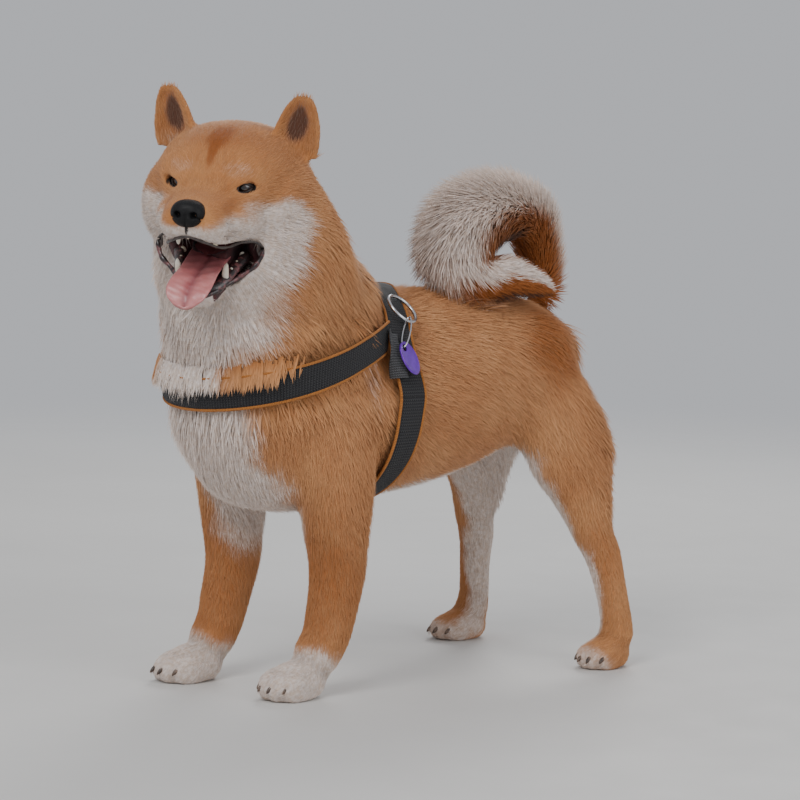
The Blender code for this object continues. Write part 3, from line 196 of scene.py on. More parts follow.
# Ear in head measures: its foot and tip, and share up, half width, bow behind, hollow in front
EAR_FOOT = (5.7, 0.9, -1.6)
EAR_TIP = (6.7, 1.5, 4.8)
EAR_OUT = math.radians(16.0)
EAR = (
    (0, 2.5, 1.9, 0.9), (0.3, 2.4, 1.7, 0.95), (0.55, 2.1, 1.35, 0.8),
    (0.78, 1.55, 0.95, 0.5), (0.93, 0.95, 0.55, 0.15),
)

# Lip edges of the left side: x, forward, up for the upper one, x, along, above for the lower
UPPER_LIP = (
    (5.25, 6.9, -9.35), (4.5, 7.4, -8.85), (3.65, 8.2, -8.8), (3.2, 9.4, -8.9),
    (2.95, 10.7, -9), (2.5, 12.2, -8.9), (1.6, 13.6, -8.4), (0, 14.3, -7.9),
)
LOWER_LIP = (
    (5.2, 5.8, 1.95), (5, 6.2, 1.3), (4.5, 6.9, 0.7), (3.4, 7.6, 0.05), (2.4, 8.9, -0.15),
    (1.75, 10.5, 0.05), (0.9, 11.3, 0), (0, 11.6, 0),
)
# Corner pouch: distance from the middle, its upper and lower edge, and how far forward its floor is
POUCH = (
    (2.1, -8.8, -13.1, 4), (2.8, -8.8, -12.5, 4.8), (3.4, -8.75, -12, 5.4),
    (4, -8.75, -11.4, 6), (4.6, -8.85, -10.9, 6.4), (4.95, -9.05, -10.3, 6.7),
    (5.2, -9.35, -9.6, 6.9),
)
# Tongue in the jaw's measures: x, along, above, half width, half thickness
TONGUE = (
    (0, 2.6, 0.2, 1.9, 0.45), (0, 5, 0.5, 2.05, 0.45), (0, 7.4, 0.85, 2, 0.42),
    (-0.05, 9.4, 1.1, 1.95, 0.38), (-0.15, 11, 1.15, 2.1, 0.34),
    (-0.25, 12.2, 0.95, 2.1, 0.3), (-0.3, 13.1, 0.55, 1.75, 0.27),
    (-0.35, 13.55, 0.1, 1.05, 0.22),
)
# Teeth: x, along, above, radius, height
LOWER_TEETH = (
    (0.3, 10.75, 0.4, 0.16, 0.42), (0.88, 10.55, 0.4, 0.2, 0.45),
    (2.25, 8.8, 0.75, 0.34, 1.4), (2.5, 7.7, 0.65, 0.22, 0.3), (2.7, 6.6, 0.65, 0.26, 0.36),
    (2.9, 5.4, 0.75, 0.32, 0.45),
)
# Upper teeth: x, forward, up of the root, radius, height
UPPER_TEETH = (
    (0.35, 12.9, -7.9, 0.18, 0.45), (0.95, 12.5, -7.9, 0.2, 0.5),
    (1.75, 11.4, -8, 0.3, 1.2), (2, 9.8, -8.2, 0.26, 0.5), (2.1, 8.2, -8.3, 0.3, 0.7),
)
GUM = (
    (3.4, 5.2, 0.75), (2.9, 6.6, 0.6), (2.5, 8, 0.5), (2.15, 9.2, 0.35), (1.6, 10.2, 0.2),
    (0.8, 10.7, 0.15), (0, 10.85, 0.15),
)
NOSE_AT = (0.0, 14.2, -5.75)
NOSE_RADII = (1.66, 1.2, 1.28)
# Paws: end of the leg above them, length, width, height, how far ahead they stand, toes out
PAWS = {
    "front_paw_left": ((6.7, -14.3), 7.6, 5.6, 3.5, 2.2, 4.0),
    "front_paw_right": ((-6.5, -17.1), 7.6, 5.6, 3.5, 2.2, -4.0),
    "hind_paw_left": ((10.5, 22.4), 6.8, 4.9, 3.1, 1.4, 8.0),
    "hind_paw_right": ((-10.9, 21.25), 6.8, 4.9, 3.1, 1.4, -8.0),
}
# Toes: place across the paw and reach ahead, as shares of its width and length
TOES = ((-0.33, 0.18), (-0.115, 0.31), (0.115, 0.31), (0.33, 0.18))
# Where whiskers grow on the muzzle: forward and up
WHISKERS = ((12.4, -6.6), (11.8, -7.3), (11.2, -6.3), (10.8, -7.1), (12.0, -8.0))
# Lids: scale of the almond and lift off the globe, from the edge out into the skin
LID_ROWS = ((0.90, -0.02), (0.93, 0.06), (1.0, 0.12), (1.12, 0.12), (1.3, 0.04), (1.55, -0.10))

CAMERA_AT = (2.42576, -1.97039, 0.570)
CAMERA_AZIMUTH = math.radians(50.0)
CAMERA_PITCH = math.radians(5.34)
CAMERA_ROLL = math.radians(1.3)
# Lens as a share of the sensor's width
CAMERA_REACH = 3156.0 / 800.0
SENSOR_WIDTH = 36.0
FLOOR_REACH = 9.0
# Lamps: name, place, aim, size and power
LAMPS = (
    ("key", (1.2, -2.6, 2.6), (0.0, 0.0, 0.35), 1.8, 62.0),
    ("fill", (3.2, 0.6, 1.6), (0.0, 0.0, 0.3), 2.2, 30.0),
    ("back", (-1.8, 2.4, 2.4), (0.0, 0.0, 0.4), 1.6, 42.0),
)


def unit(rows):
    """Each row scaled to length one."""
    return rows / np.maximum(np.linalg.norm(rows, axis=-1, keepdims=True), 1e-12)


def eased_step(low, high, value):
    """Smooth step from nought at low to one at high."""
    t = np.clip((value - low) / (high - low), 0.0, 1.0)
    return t * t * (3.0 - 2.0 * t)


def circle(sides):
    """Angles evenly round a circle."""
    return np.arange(sides) * 2 * math.pi / sides


def squared_off(value, power):
    """The value's size raised to the power, with its own sign."""
    return np.sign(value) * np.abs(value) ** power


def turn_about(axis, angle):
    return np.array(Matrix.Rotation(angle, 3, axis))


HEAD_TURN = turn_about("Z", HEAD_YAW) @ turn_about("X", HEAD_NOD) @ turn_about("Y", HEAD_ROLL)
HEAD_FROM = HEAD_AT * CM + BODY_AT


def head_point(x, forward, up):
    """Head measures as places: x, minus forward, up in centimetres, turned and set at the head."""
    local = np.stack(np.broadcast_arrays(x, -np.asarray(forward), up), axis=-1) * CM
    return local @ HEAD_TURN.T + HEAD_FROM


def jaw_point(x, along, above):
    """Jaw measures as places: along and above are turned down about the hinge by the opening."""
    along, above = np.asarray(along, float), np.asarray(above, float)
    c, s = math.cos(JAW_OPEN), math.sin(JAW_OPEN)
    forward = JAW_HINGE[0] + along * c + above * s
    return head_point(x, forward, JAW_HINGE[1] - along * s + above * c)


def head_measures(points):
    """Places as x, forward and up of the head, in centimetres."""
    local = (points - HEAD_FROM) @ HEAD_TURN / CM
    return local * (1.0, -1.0, 1.0)


def right_step(body):
    """How far ahead of the left side the right one stands, fading from the floor up to LEG_TOP."""
    share = np.clip((LEG_TOP - body[..., 2]) / LEG_TOP, 0.0, 1.0) ** 0.6
    return share * np.where(body[..., 1] < 0, FORE_STEP, HIND_STEP)


def body_measures(points):
    """Places as body centimetres of the left side: |x|, and the right legs' steps taken out."""
    body = (points - BODY_AT) / CM
    body[:, 1] += (body[:, 0] < 0) * right_step(body)
    body[:, 0] = np.abs(body[:, 0])
    return body


def curve_through(rows, spans):
    """Catmull-Rom curve through rows, with this many spans to each pair."""
    rows = np.asarray(rows, float)
    padded = np.vstack([2 * rows[0] - rows[1], rows, 2 * rows[-1] - rows[-2]])
    a, b, c, d = (padded[k : len(padded) - 3 + k, None] for k in range(4))
    t = (np.arange(spans) / spans)[None, :, None]
    bend = (2 * a - 5 * b + 4 * c - d) * t**2 + (3 * b - a - 3 * c + d) * t**3
    out = (2 * b + (c - a) * t + bend) / 2
    return np.vstack([out.reshape(-1, rows.shape[1]), rows[-1]])


def both_sides(rows):
    """A half line that ends on the middle plane, carried on to the other side."""
    rows = np.asarray(rows, float)
    other = rows[-2::-1].copy()
    other[:, 0] *= -1
    return np.vstack([rows, other])


def mesh_of(name, points, *faces):
    """A mesh from rows of points and arrays of three or four corners a face."""
    mesh = bpy.data.meshes.new(name)
    mesh.vertices.add(len(points))
    mesh.vertices.foreach_set("co", np.ascontiguousarray(points, np.float32).ravel())
    corners = np.concatenate([f.ravel() for f in faces]).astype(np.int32)
    sizes = np.concatenate([np.full(len(f), f.shape[1]) for f in faces])
    starts = np.concatenate([[0], np.cumsum(sizes)[:-1]]).astype(np.int32)
    mesh.loops.add(len(corners))
    mesh.loops.foreach_set("vertex_index", corners)
    mesh.polygons.add(len(sizes))
    mesh.polygons.foreach_set("loop_start", starts)
    mesh.update(calc_edges=True)
    return mesh


def grid_faces(rows, columns, round_rows=False, round_columns=False):
    """Four-cornered faces of a grid of points, closed round either way."""
    i = np.arange(rows if round_rows else rows - 1)[:, None]
    k = np.arange(columns if round_columns else columns - 1)[None, :]
    i2, k2 = (i + 1) % rows, (k + 1) % columns
    corners = (i * columns + k, i * columns + k2, i2 * columns + k2, i2 * columns + k)
    return np.stack(np.broadcast_arrays(*corners), axis=-1).reshape(-1, 4)


def tube_faces(rings, sides, start=0):
    """Faces of a tube of rings with a pole at each end, the poles being the last two points."""
    walls = grid_faces(rings, sides, round_columns=True)
    k = np.arange(sides)
    k2 = (k + 1) % sides
    low, high, base = rings * sides, rings * sides + 1, (rings - 1) * sides
    caps = np.concatenate(
        [
            np.stack([k2, k, np.full(sides, low)], axis=1),
            np.stack([base + k, base + k2, np.full(sides, high)], axis=1),
        ]
    )
    return walls + start, caps + start


def read(items, key, width=1, kind=np.int32):
    """One property of each of a mesh's items, in rows of this width."""
    values = np.empty(len(items) * width, kind)
    items.foreach_get(key, values)
    return values.reshape(-1, width)


def points_of(mesh):
    return read(mesh.vertices, "co", 3, np.float32).astype(float)


def normals_of(mesh):
    return read(mesh.vertex_normals, "vector", 3, np.float32).astype(float)


def edges_of(mesh):
    return read(mesh.edges, "vertices", 2)


def add_field(mesh, name, values, domain="POINT"):
    """A number that varies over the mesh, for its material."""
    field = mesh.attributes.new(name, "FLOAT", domain)
    field.data.foreach_set("value", np.ascontiguousarray(values, np.float32))


def add_map(mesh, name, places):
    """A UV map from one place to each vertex."""
    corners = read(mesh.loops, "vertex_index")[:, 0]
    layer = mesh.uv_layers.new(name=name)
    layer.uv.foreach_set("vector", np.ascontiguousarray(places[corners], np.float32).ravel())


def set_out(name, data):
    """An object of this name and data, in the scene."""
    obj = bpy.data.objects.new(name, data)
    bpy.context.scene.collection.objects.link(obj)
    return obj


def put_out(name, mesh, look, *nodes):
    """Makes a piece of the mesh, riding on the model, that stands for these nodes."""
    mesh.polygons.foreach_set("use_smooth", np.full(len(mesh.polygons), True))
    mesh.materials.append(look)
    obj = set_out(name, mesh)
    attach(obj, "root")
    if nodes:
        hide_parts(*nodes)
    return obj


def outward(mesh):
    """Turns a closed mesh's faces outwards."""
    work = bmesh.new()
    work.from_mesh(mesh)
    bmesh.ops.recalc_face_normals(work, faces=work.faces)
    work.to_mesh(mesh)
    work.free()
    return mesh


def walled(obj, thickness, offset):
    wall = obj.modifiers.new("wall", "SOLIDIFY")
    wall.thickness, wall.offset = thickness, offset
    return obj


def tube(path, radius, sides, flat=1.0, up=(0.0, 0.0, 1.0)):
    """Round section of the given radii carried along a path, with a pole at each end."""
    path = np.asarray(path, float)
    radius = np.broadcast_to(radius, len(path))
    along = unit(np.gradient(path, axis=0))
    side = unit(np.cross(along, np.asarray(up, float)))
    rise = np.cross(side, along)
    a = circle(sides)[None, :, None]
    rim = side[:, None] * np.cos(a) + rise[:, None] * np.sin(a) * flat
    rings = path[:, None] + rim * radius[:, None, None]
    points = np.vstack([rings.reshape(-1, 3), path[0], path[-1]])
    return points, tube_faces(len(path), sides)


def joined_mesh(name, parts):
    """One mesh from several (points, (faces, faces)) parts."""
    points, walls, caps, count = [], [], [], 0
    for spots, (wall, cap) in parts:
        points.append(spots)
        walls.append(wall + count)
        caps.append(cap + count)
        count += len(spots)
    return mesh_of(name, np.vstack(points), np.vstack(walls), np.vstack(caps))


# Materials


class Nodes:
    """Short way to place and link the nodes of one tree."""

    def __init__(self, tree):
        self.tree = tree

    def put(self, kind, **values):
        node = self.tree.nodes.new(kind)
        for key, value in values.items():
            setattr(node, key, value)
        return node

    def link(self, source, target):
        self.tree.links.new(source, target)

    def feed(self, socket, value):
        if isinstance(value, bpy.types.NodeSocket):
            self.link(value, socket)
        else:
            socket.default_value = value

    def field(self, name):
        node = self.put("ShaderNodeAttribute", attribute_name=name)
        return node.outputs["Fac"]

    def place(self):
        return self.put("ShaderNodeTexCoord").outputs["Object"]

    def math(self, operation, first, second=0.0):
        node = self.put("ShaderNodeMath", operation=operation)
        self.feed(node.inputs[0], first)
        self.feed(node.inputs[1], second)
        return node.outputs[0]

    def times(self, first, second):
        return self.math("MULTIPLY", first, second)

    def plus(self, first, second):
        return self.math("ADD", first, second)

    def mix(self, share, first, second):
        node = self.put("ShaderNodeMix", data_type="RGBA")
        self.feed(node.inputs["Factor"], share)
        self.feed(node.inputs["A"], first)
        self.feed(node.inputs["B"], second)
        return node.outputs["Result"]

    def between(self, value, low, high, to_low=0.0, to_high=1.0, ease="SMOOTHSTEP"):
        node = self.put("ShaderNodeMapRange", clamp=True, interpolation_type=ease)
        numbers = (value, low, high, to_low, to_high)
        for socket, number in zip(node.inputs, numbers):
            self.feed(socket, number)
        return node.outputs[0]

    def noise(self, vector, scale, detail=3.0, roughness=0.5, stretch=None):
        if stretch:
            turned = self.put("ShaderNodeMapping")
            self.feed(turned.inputs["Vector"], vector)
            turned.inputs["Scale"].default_value = stretch
            vector = turned.outputs[0]
        node = self.put("ShaderNodeTexNoise")
        self.feed(node.inputs["Vector"], vector)
        self.feed(node.inputs["Scale"], scale)
        node.inputs["Detail"].default_value = detail
        node.inputs["Roughness"].default_value = roughness
        return node.outputs["Fac"]

    def ramp(self, value, *stops):
        node = self.put("ShaderNodeValToRGB")
        self.feed(node.inputs[0], value)
        stock = node.color_ramp.elements
        while len(stock) < len(stops):
            stock.new(0.5)
        for element, (spot, colour) in zip(stock, stops):
            element.position = spot
            element.color = colour
        return node.outputs["Color"]


def new_look(name, **numbers):
    """A material, its Nodes and its shader, with the numbers that are the same all over."""
    look = bpy.data.materials.new(name)
    look.use_nodes = True
    nodes = Nodes(look.node_tree)
    shader = look.node_tree.nodes["Principled BSDF"]
    for key, value in numbers.items():
        shader.inputs[key.replace("_", " ")].default_value = value
    return look, nodes, shader


def bump(nodes, shader, height, strength, distance):
    node = nodes.put("ShaderNodeBump")
    node.inputs["Strength"].default_value = strength
    node.inputs["Distance"].default_value = distance
    nodes.link(height, node.inputs["Height"])
    nodes.link(node.outputs["Normal"], shader.inputs["Normal"])


def surface(nodes, shader, colour, roughness):
    nodes.link(colour, shader.inputs["Base Color"])
    nodes.link(roughness, shader.inputs["Roughness"])


def shared(name, colours, numbers, outputs):
    """A shader node group with colour and number inputs and these outputs: its tree, its Nodes,
    its inputs by name, and its output node."""
    tree = bpy.data.node_groups.new(name, "ShaderNodeTree")
    for label in (*colours, *numbers):
        kind = "NodeSocketColor" if label in colours else "NodeSocketFloat"
        tree.interface.new_socket(label, in_out="INPUT", socket_type=kind)
    for label in outputs:
        kind = "NodeSocketColor" if label == "Color" else "NodeSocketFloat"
        tree.interface.new_socket(label, in_out="OUTPUT", socket_type=kind)
    nodes = Nodes(tree)
    return tree, nodes, nodes.put("NodeGroupInput").outputs, nodes.put("NodeGroupOutput").inputs


def placed(nodes, group, **values):
    """A shared group set in a material with its own values, and what it puts out."""
    node = nodes.put("ShaderNodeGroup", node_tree=group)
    for label, value in values.items():
        nodes.feed(node.inputs[label.replace("_", " ")], value)
    return node.outputs


def rgba(colour):
    return (*colour, 1.0)


COAT_FIELDS = ("Cream", "Rust", "Dark", "Ear", "Strand", "Tip")


def coat_colour_group(colours):
    """Coat colour from its markings: red, then cream, rust and dark, each broken up by noise,
    with painted shade that darkens each hair towards its root.
    """
    tree, nodes, given, out = shared("Coat colour", (), COAT_FIELDS, ("Color", "Roughness"))
    place = nodes.place()
    patch = nodes.noise(place, 14.0, 4.0, 0.6)
    fine = nodes.noise(place, 260.0, 2.0, 0.6)
    loose = nodes.times(given["Strand"], 0.3)
    broken = nodes.plus(nodes.times(patch, 0.35), loose)
    cream = nodes.plus(given["Cream"], nodes.math("SUBTRACT", broken, 0.32))
    cream = nodes.between(cream, 0.10, 0.86)
    warm = nodes.mix(nodes.between(patch, 0.35, 0.7), rgba(colours.red), rgba(colours.red_light))
    rust = nodes.between(nodes.plus(given["Rust"], loose), 0.2, 1.0)
    pale_tip = nodes.times(given["Tip"], 0.28)
    warm = nodes.mix(pale_tip, warm, rgba(colours.sand))
    warm = nodes.mix(rust, warm, rgba(colours.rust))
    pale = nodes.mix(nodes.between(fine, 0.3, 0.7), rgba(colours.cream), rgba(colours.white))
    colour = nodes.mix(cream, warm, pale)
    # Painted shade in the ear: the hollow's own lighter skin colour goes to near black in its
    # middle, where shade falls deep inside
    painted_deep_shade = nodes.between(given["Ear"], 0.45, 1.0)
    inner = nodes.mix(painted_deep_shade, rgba(colours.ear_light), rgba(colours.ear))
    inner = nodes.mix(pale_tip, inner, rgba(colours.cream))
    colour = nodes.mix(nodes.between(given["Ear"], 0.2, 0.8), colour, inner)
    # Dark holds the face's dark skin and painted shade under the tail and inside its curl
    dark = nodes.between(given["Dark"], 0.25, 0.75)
    colour = nodes.mix(dark, colour, rgba(colours.dark))
    shade = nodes.plus(nodes.times(given["Strand"], 0.34), 0.83)
    # Painted shade: each hair is darker towards its root, deep in the coat, and a little lighter at
    # its tip
    root = nodes.plus(nodes.times(given["Tip"], 0.22), 0.84)
    lit = nodes.put("ShaderNodeVectorMath", operation="SCALE")
    nodes.link(colour, lit.inputs[0])
    nodes.link(nodes.times(shade, root), lit.inputs["Scale"])
    nodes.link(lit.outputs[0], out["Color"])
    nodes.link(nodes.between(fine, 0.2, 0.8, 0.62, 0.85), out["Roughness"])
    return tree


def mottled_group():
    """Two colours in slow blotches, and fine grain for roughness and height."""
    numbers = ("Scale", "From", "To", "Rough low", "Rough high")
    tree, nodes, given, out = shared(
        "Mottled", ("Low", "High"), numbers, ("Color", "Roughness", "Height")
    )
    place = nodes.place()
    broad = nodes.noise(place, given["Scale"], 5.0, 0.6)
    fine = nodes.noise(place, nodes.times(given["Scale"], 7.0), 4.0, 0.6)
    share = nodes.between(broad, given["From"], given["To"], ease="LINEAR")
    nodes.link(nodes.mix(share, given["Low"], given["High"]), out["Color"])
    rough = nodes.between(fine, 0.25, 0.75, given["Rough low"], given["Rough high"])
    nodes.link(rough, out["Roughness"])
    nodes.link(fine, out["Height"])
    return tree


def weave_group():
    """Ribs across a strap and finer threads along it, from sines of its weave map."""
    tree, nodes, given, out = shared(
        "Weave", ("Dark", "Light"), ("Ribs",), ("Color", "Roughness", "Height")
    )
    parts = nodes.put("ShaderNodeSeparateXYZ")
    nodes.link(nodes.put("ShaderNodeUVMap", uv_map="weave").outputs["UV"], parts.inputs[0])
    along = nodes.times(parts.outputs["X"], given["Ribs"])
    threads = nodes.times(given["Ribs"], 1.25)
    across = nodes.math("SINE", nodes.times(parts.outputs["Y"], threads))
    rib = nodes.math("SINE", nodes.plus(along, across))
    height = nodes.plus(rib, nodes.times(across, 0.5))
    dust = nodes.noise(nodes.place(), 60.0, 5.0, 0.65)
    worn = nodes.between(dust, 0.3, 0.7, 0.45, 1.0)
    share = nodes.times(nodes.between(height, -0.6, 1.4), worn)
    nodes.link(nodes.mix(share, given["Dark"], given["Light"]), out["Color"])
    nodes.link(nodes.between(dust, 0.3, 0.7, 0.6, 0.82), out["Roughness"])
    nodes.link(height, out["Height"])
    return tree


def group_named(name, build):
    """The shared group of this name, built when it is first asked for."""
    return bpy.data.node_groups.get(name) or build()


def coat_look(name, group, on_skin):
    """Hair: the shared coat colour, a soft sheen, and fine bump on the skin itself."""
    look, nodes, shader = new_look(
        name, Sheen_Weight=0.18, Sheen_Roughness=0.45, Specular_IOR_Level=0.28
    )
    hair = placed(nodes, group, **{label: nodes.field(label.lower()) for label in COAT_FIELDS})
    shown = hair["Color"]
    if on_skin:
        mouth = nodes.field("mouth")
        wet = nodes.ramp(
            nodes.noise(nodes.place(), 90.0, 4.0),
            (0.35, (0.018, 0.006, 0.007, 1.0)),
            (0.65, (0.10, 0.026, 0.028, 1.0)),
        )
        shown = nodes.mix(nodes.between(mouth, 0.3, 0.7), shown, wet)
        fuzz = nodes.noise(nodes.place(), 320.0, 4.0, 0.7, stretch=(1.0, 0.35, 0.35))
        bump(nodes, shader, fuzz, 0.6, 0.0012)
    surface(nodes, shader, shown, hair["Roughness"])
    return look


def tinted_look(name, low, high, scale, roughness, depth=0.0004, spread=(0.35, 0.65), **numbers):
    """A surface that wanders between two colours, with grain of the same size in its bump."""
    look, nodes, shader = new_look(name, **numbers)
    made = placed(
        nodes, group_named("Mottled", mottled_group), Low=rgba(low), High=rgba(high), Scale=scale,
        From=spread[0], To=spread[1], Rough_low=roughness[0], Rough_high=roughness[1],
    )
    surface(nodes, shader, made["Color"], made["Roughness"])
    bump(nodes, shader, made["Height"], 0.5, depth)
    return look


def leather_look(name, colours):
    """Nose pad: black cobbles with a damp shine, a little darker in the grooves between them as
    painted shade.
    """
    look, nodes, shader = new_look(
        name, Coat_Weight=0.05, Coat_Roughness=0.3, Specular_IOR_Level=0.25
    )
    cells = nodes.put("ShaderNodeTexVoronoi", feature="DISTANCE_TO_EDGE")
    nodes.link(nodes.place(), cells.inputs["Vector"])
    cells.inputs["Scale"].default_value = 900.0
    gap = nodes.between(cells.outputs["Distance"], 0.0, 0.25)
    # Painted shade: a little darker in the grooves between the cobbles
    colour = nodes.mix(gap, (0.004, 0.004, 0.005, 1.0), rgba(colours.nose))
    surface(nodes, shader, colour, nodes.between(gap, 0.0, 1.0, 0.6, 0.36))
    bump(nodes, shader, gap, 0.6, 0.0003)
    return look


def eye_look(name, colours):
    """Iris with radial streaks about a round pupil, a dark rim and a wet clear cornea."""
    look, nodes, shader = new_look(name, Coat_Weight=1.0, Coat_Roughness=0.02)
    spread = nodes.field("from_pupil")
    streaks = nodes.put("ShaderNodeTexNoise", noise_dimensions="1D")
    nodes.link(nodes.field("about_pupil"), streaks.inputs["W"])
    streaks.inputs["Scale"].default_value = 9.0
    streaks.inputs["Detail"].default_value = 5.0
    iris = nodes.mix(streaks.outputs["Fac"], rgba(colours.iris), (0.055, 0.022, 0.010, 1.0))
    pupil = nodes.between(spread, 0.30, 0.36)
    colour = nodes.mix(pupil, (0.002, 0.002, 0.002, 1.0), iris)
    colour = nodes.mix(nodes.between(spread, 0.62, 0.78), colour, (0.006, 0.004, 0.003, 1.0))
    white = nodes.ramp(
        nodes.noise(nodes.place(), 300.0, 4.0),
        (0.4, (0.05, 0.03, 0.025, 1.0)),
        (0.6, (0.12, 0.08, 0.07, 1.0)),
    )
    colour = nodes.mix(nodes.between(spread, 0.92, 1.05), colour, white)
    surface(nodes, shader, colour, nodes.between(spread, 0.2, 1.2, 0.06, 0.2))
    return look


def weave_look(name, dark, light, pitch):
    """Webbing of ribs this far apart, worn paler on the ridges."""
    look, nodes, shader = new_look(
        name, Sheen_Weight=0.05, Sheen_Roughness=0.5, Specular_IOR_Level=0.35
    )
    made = placed(
        nodes, group_named("Weave", weave_group), Dark=rgba(dark), Light=rgba(light),
        Ribs=2 * math.pi / pitch,
    )
    surface(nodes, shader, made["Color"], made["Roughness"])
    bump(nodes, shader, made["Height"], 0.7, 0.0005)
    return look


def metal_look(name, colour, rough):
    """Polished metal with fine scuffs."""
    look, nodes, shader = new_look(name, Metallic=1.0)
    scuff = nodes.noise(nodes.place(), 420.0, 6.0, 0.7, stretch=(1.0, 1.0, 0.15))
    dull = nodes.noise(nodes.place(), 45.0, 4.0)
    shade = nodes.mix(dull, rgba([c * 0.8 for c in colour]), rgba(colour))
    surface(nodes, shader, shade, nodes.between(scuff, 0.35, 0.7, rough, rough + 0.22))
    bump(nodes, shader, scuff, 0.08, 0.0002)
    return look


# Markings and lie of the coat


def wander(points, size):
    """Smooth noise about nought from crossed sines, for ragged edges of markings."""
    p = points * (2 * math.pi / size)
    x, y, z = p[:, 0], p[:, 1], p[:, 2]
    slow = np.sin(x + 1.7 * np.sin(y)) + np.sin(y + 1.3 * np.sin(z)) + np.sin(z + 1.9 * np.sin(x))
    fast = np.sin(2.7 * x + 2.1 * z) + np.sin(3.1 * y - 2.3 * x) + np.sin(2.9 * z + 1.8 * y)
    return (slow + 0.5 * fast) / 4.5


def in_patches(measures, patches, soft=0.22, ragged=None):
    """How far each place lies within any of the patches: one inside, easing to nought outside."""
    clear = np.ones(len(measures))
    for centre, radii, strength in patches:
        reach = np.linalg.norm((measures - centre) / radii, axis=1)
        if ragged is not None:
            reach = reach + ragged
        clear *= 1.0 - strength * eased_step(1.0 + soft, 1.0 - soft, reach)
    return 1.0 - clear


def nearest_on(line, points):
    """Which of a line's points lies nearest to each place, and how far away it is."""
    nearest, far = np.empty(len(points), int), np.empty(len(points))
    for start in range(0, len(points), 8000):
        part = slice(start, start + 8000)
        gap = ((points[part, None] - line[None]) ** 2).sum(axis=2)
        nearest[part], far[part] = gap.argmin(axis=1), np.sqrt(gap.min(axis=1))
    return nearest, far


def tail_measures(points):
    """Share along the tail, nearest point of its line, and the line's own direction there."""
    line = curve_through(np.array(TAIL)[:, :3], 16) * CM + BODY_AT
    along = unit(np.gradient(line, axis=0))
    nearest, _ = nearest_on(line, points)
    return nearest / (len(line) - 1), line[nearest], along[nearest]


def brush_radius(share):
    """The brush's radius at these shares along the tail."""
    return np.interp(share, np.linspace(0, 1, len(TAIL)), np.array(TAIL)[:, 3]) * CM


def tail_share(points):
    """One on the tail, nought on the body, with the share along it and its line's nearest point."""
    share, nearest, _ = tail_measures(points)
    far = np.linalg.norm(points - nearest, axis=1)
    on_tail = eased_step(1.3, 1.0, far / brush_radius(share))
    return on_tail * eased_step(0.06, 0.14, share), share, nearest


def mouth_share(points):
    """One on the lining of the open mouth, nought on the outside of the head."""
    x, forward, up = head_measures(points).T
    fall = np.degrees(np.arctan2(JAW_HINGE[1] - up, np.maximum(forward - JAW_HINGE[0], 0.1)))
    along = np.hypot(forward - JAW_HINGE[0], up - JAW_HINGE[1])
    half = np.interp(along, (2.0, 5.0, 9.0, 12.5), (2.9, 2.7, 2.15, 1.4))
    inside = eased_step(1.08, 0.94, np.abs(x) / half)
    inside *= eased_step(-18.0, -14.0, fall) * eased_step(35.0, 31.0, fall)
    reach = np.where(fall > 10.0, 10.6, 12.6)
    inside *= eased_step(0.6, 1.2, forward) * eased_step(reach + 0.5, reach, along)
    return np.maximum(inside, pouch_share(points)[0])


def pouch_share(points):
    """One in the dark pouch at a corner of the mouth, and how far forward its floor lies."""
    x, forward, up = head_measures(points).T
    out = np.abs(x)
    stations, top, low, floor = np.array(POUCH).T
    top, low, floor = (np.interp(out, stations, row) for row in (top, low, floor))
    share = eased_step(0.12, -0.12, up - top) * eased_step(-0.12, 0.12, up - low)
    share *= eased_step(5.3, 5.15, out) * eased_step(2.0, 2.3, out) * eased_step(2.5, 3.5, forward)
    return share, floor


def ear_share(points):
    """One in the hollow of an ear, nought on its rim and back."""
    head = head_measures(points)
    share = (head[:, 2] - EAR_FOOT[2]) / (EAR_TIP[2] - EAR_FOOT[2])
    stations, half, bow, hollow = np.array(EAR).T
    half, bow, hollow = (np.interp(share, stations, row) for row in (half, bow, hollow))
    centre = np.array(EAR_FOOT) + np.clip(share, 0, 1)[:, None] * np.subtract(EAR_TIP, EAR_FOOT)
    x, y = np.abs(head[:, 0]) - centre[:, 0], -(head[:, 1] - centre[:, 1])
    c, s = math.cos(EAR_OUT), math.sin(EAR_OUT)
    across, behind = (x * c + y * s) / half, y * c - x * s
    middle = (hollow + bow) / 2 * np.sqrt(np.clip(1 - across**2, 0.0, 1.0))
    round_out = np.hypot(across * (1.12 + 0.3 * share), (share - 0.52) / 0.47)
    return eased_step(0.98, 0.35, round_out) * eased_step(0.15, -0.15, behind - middle)


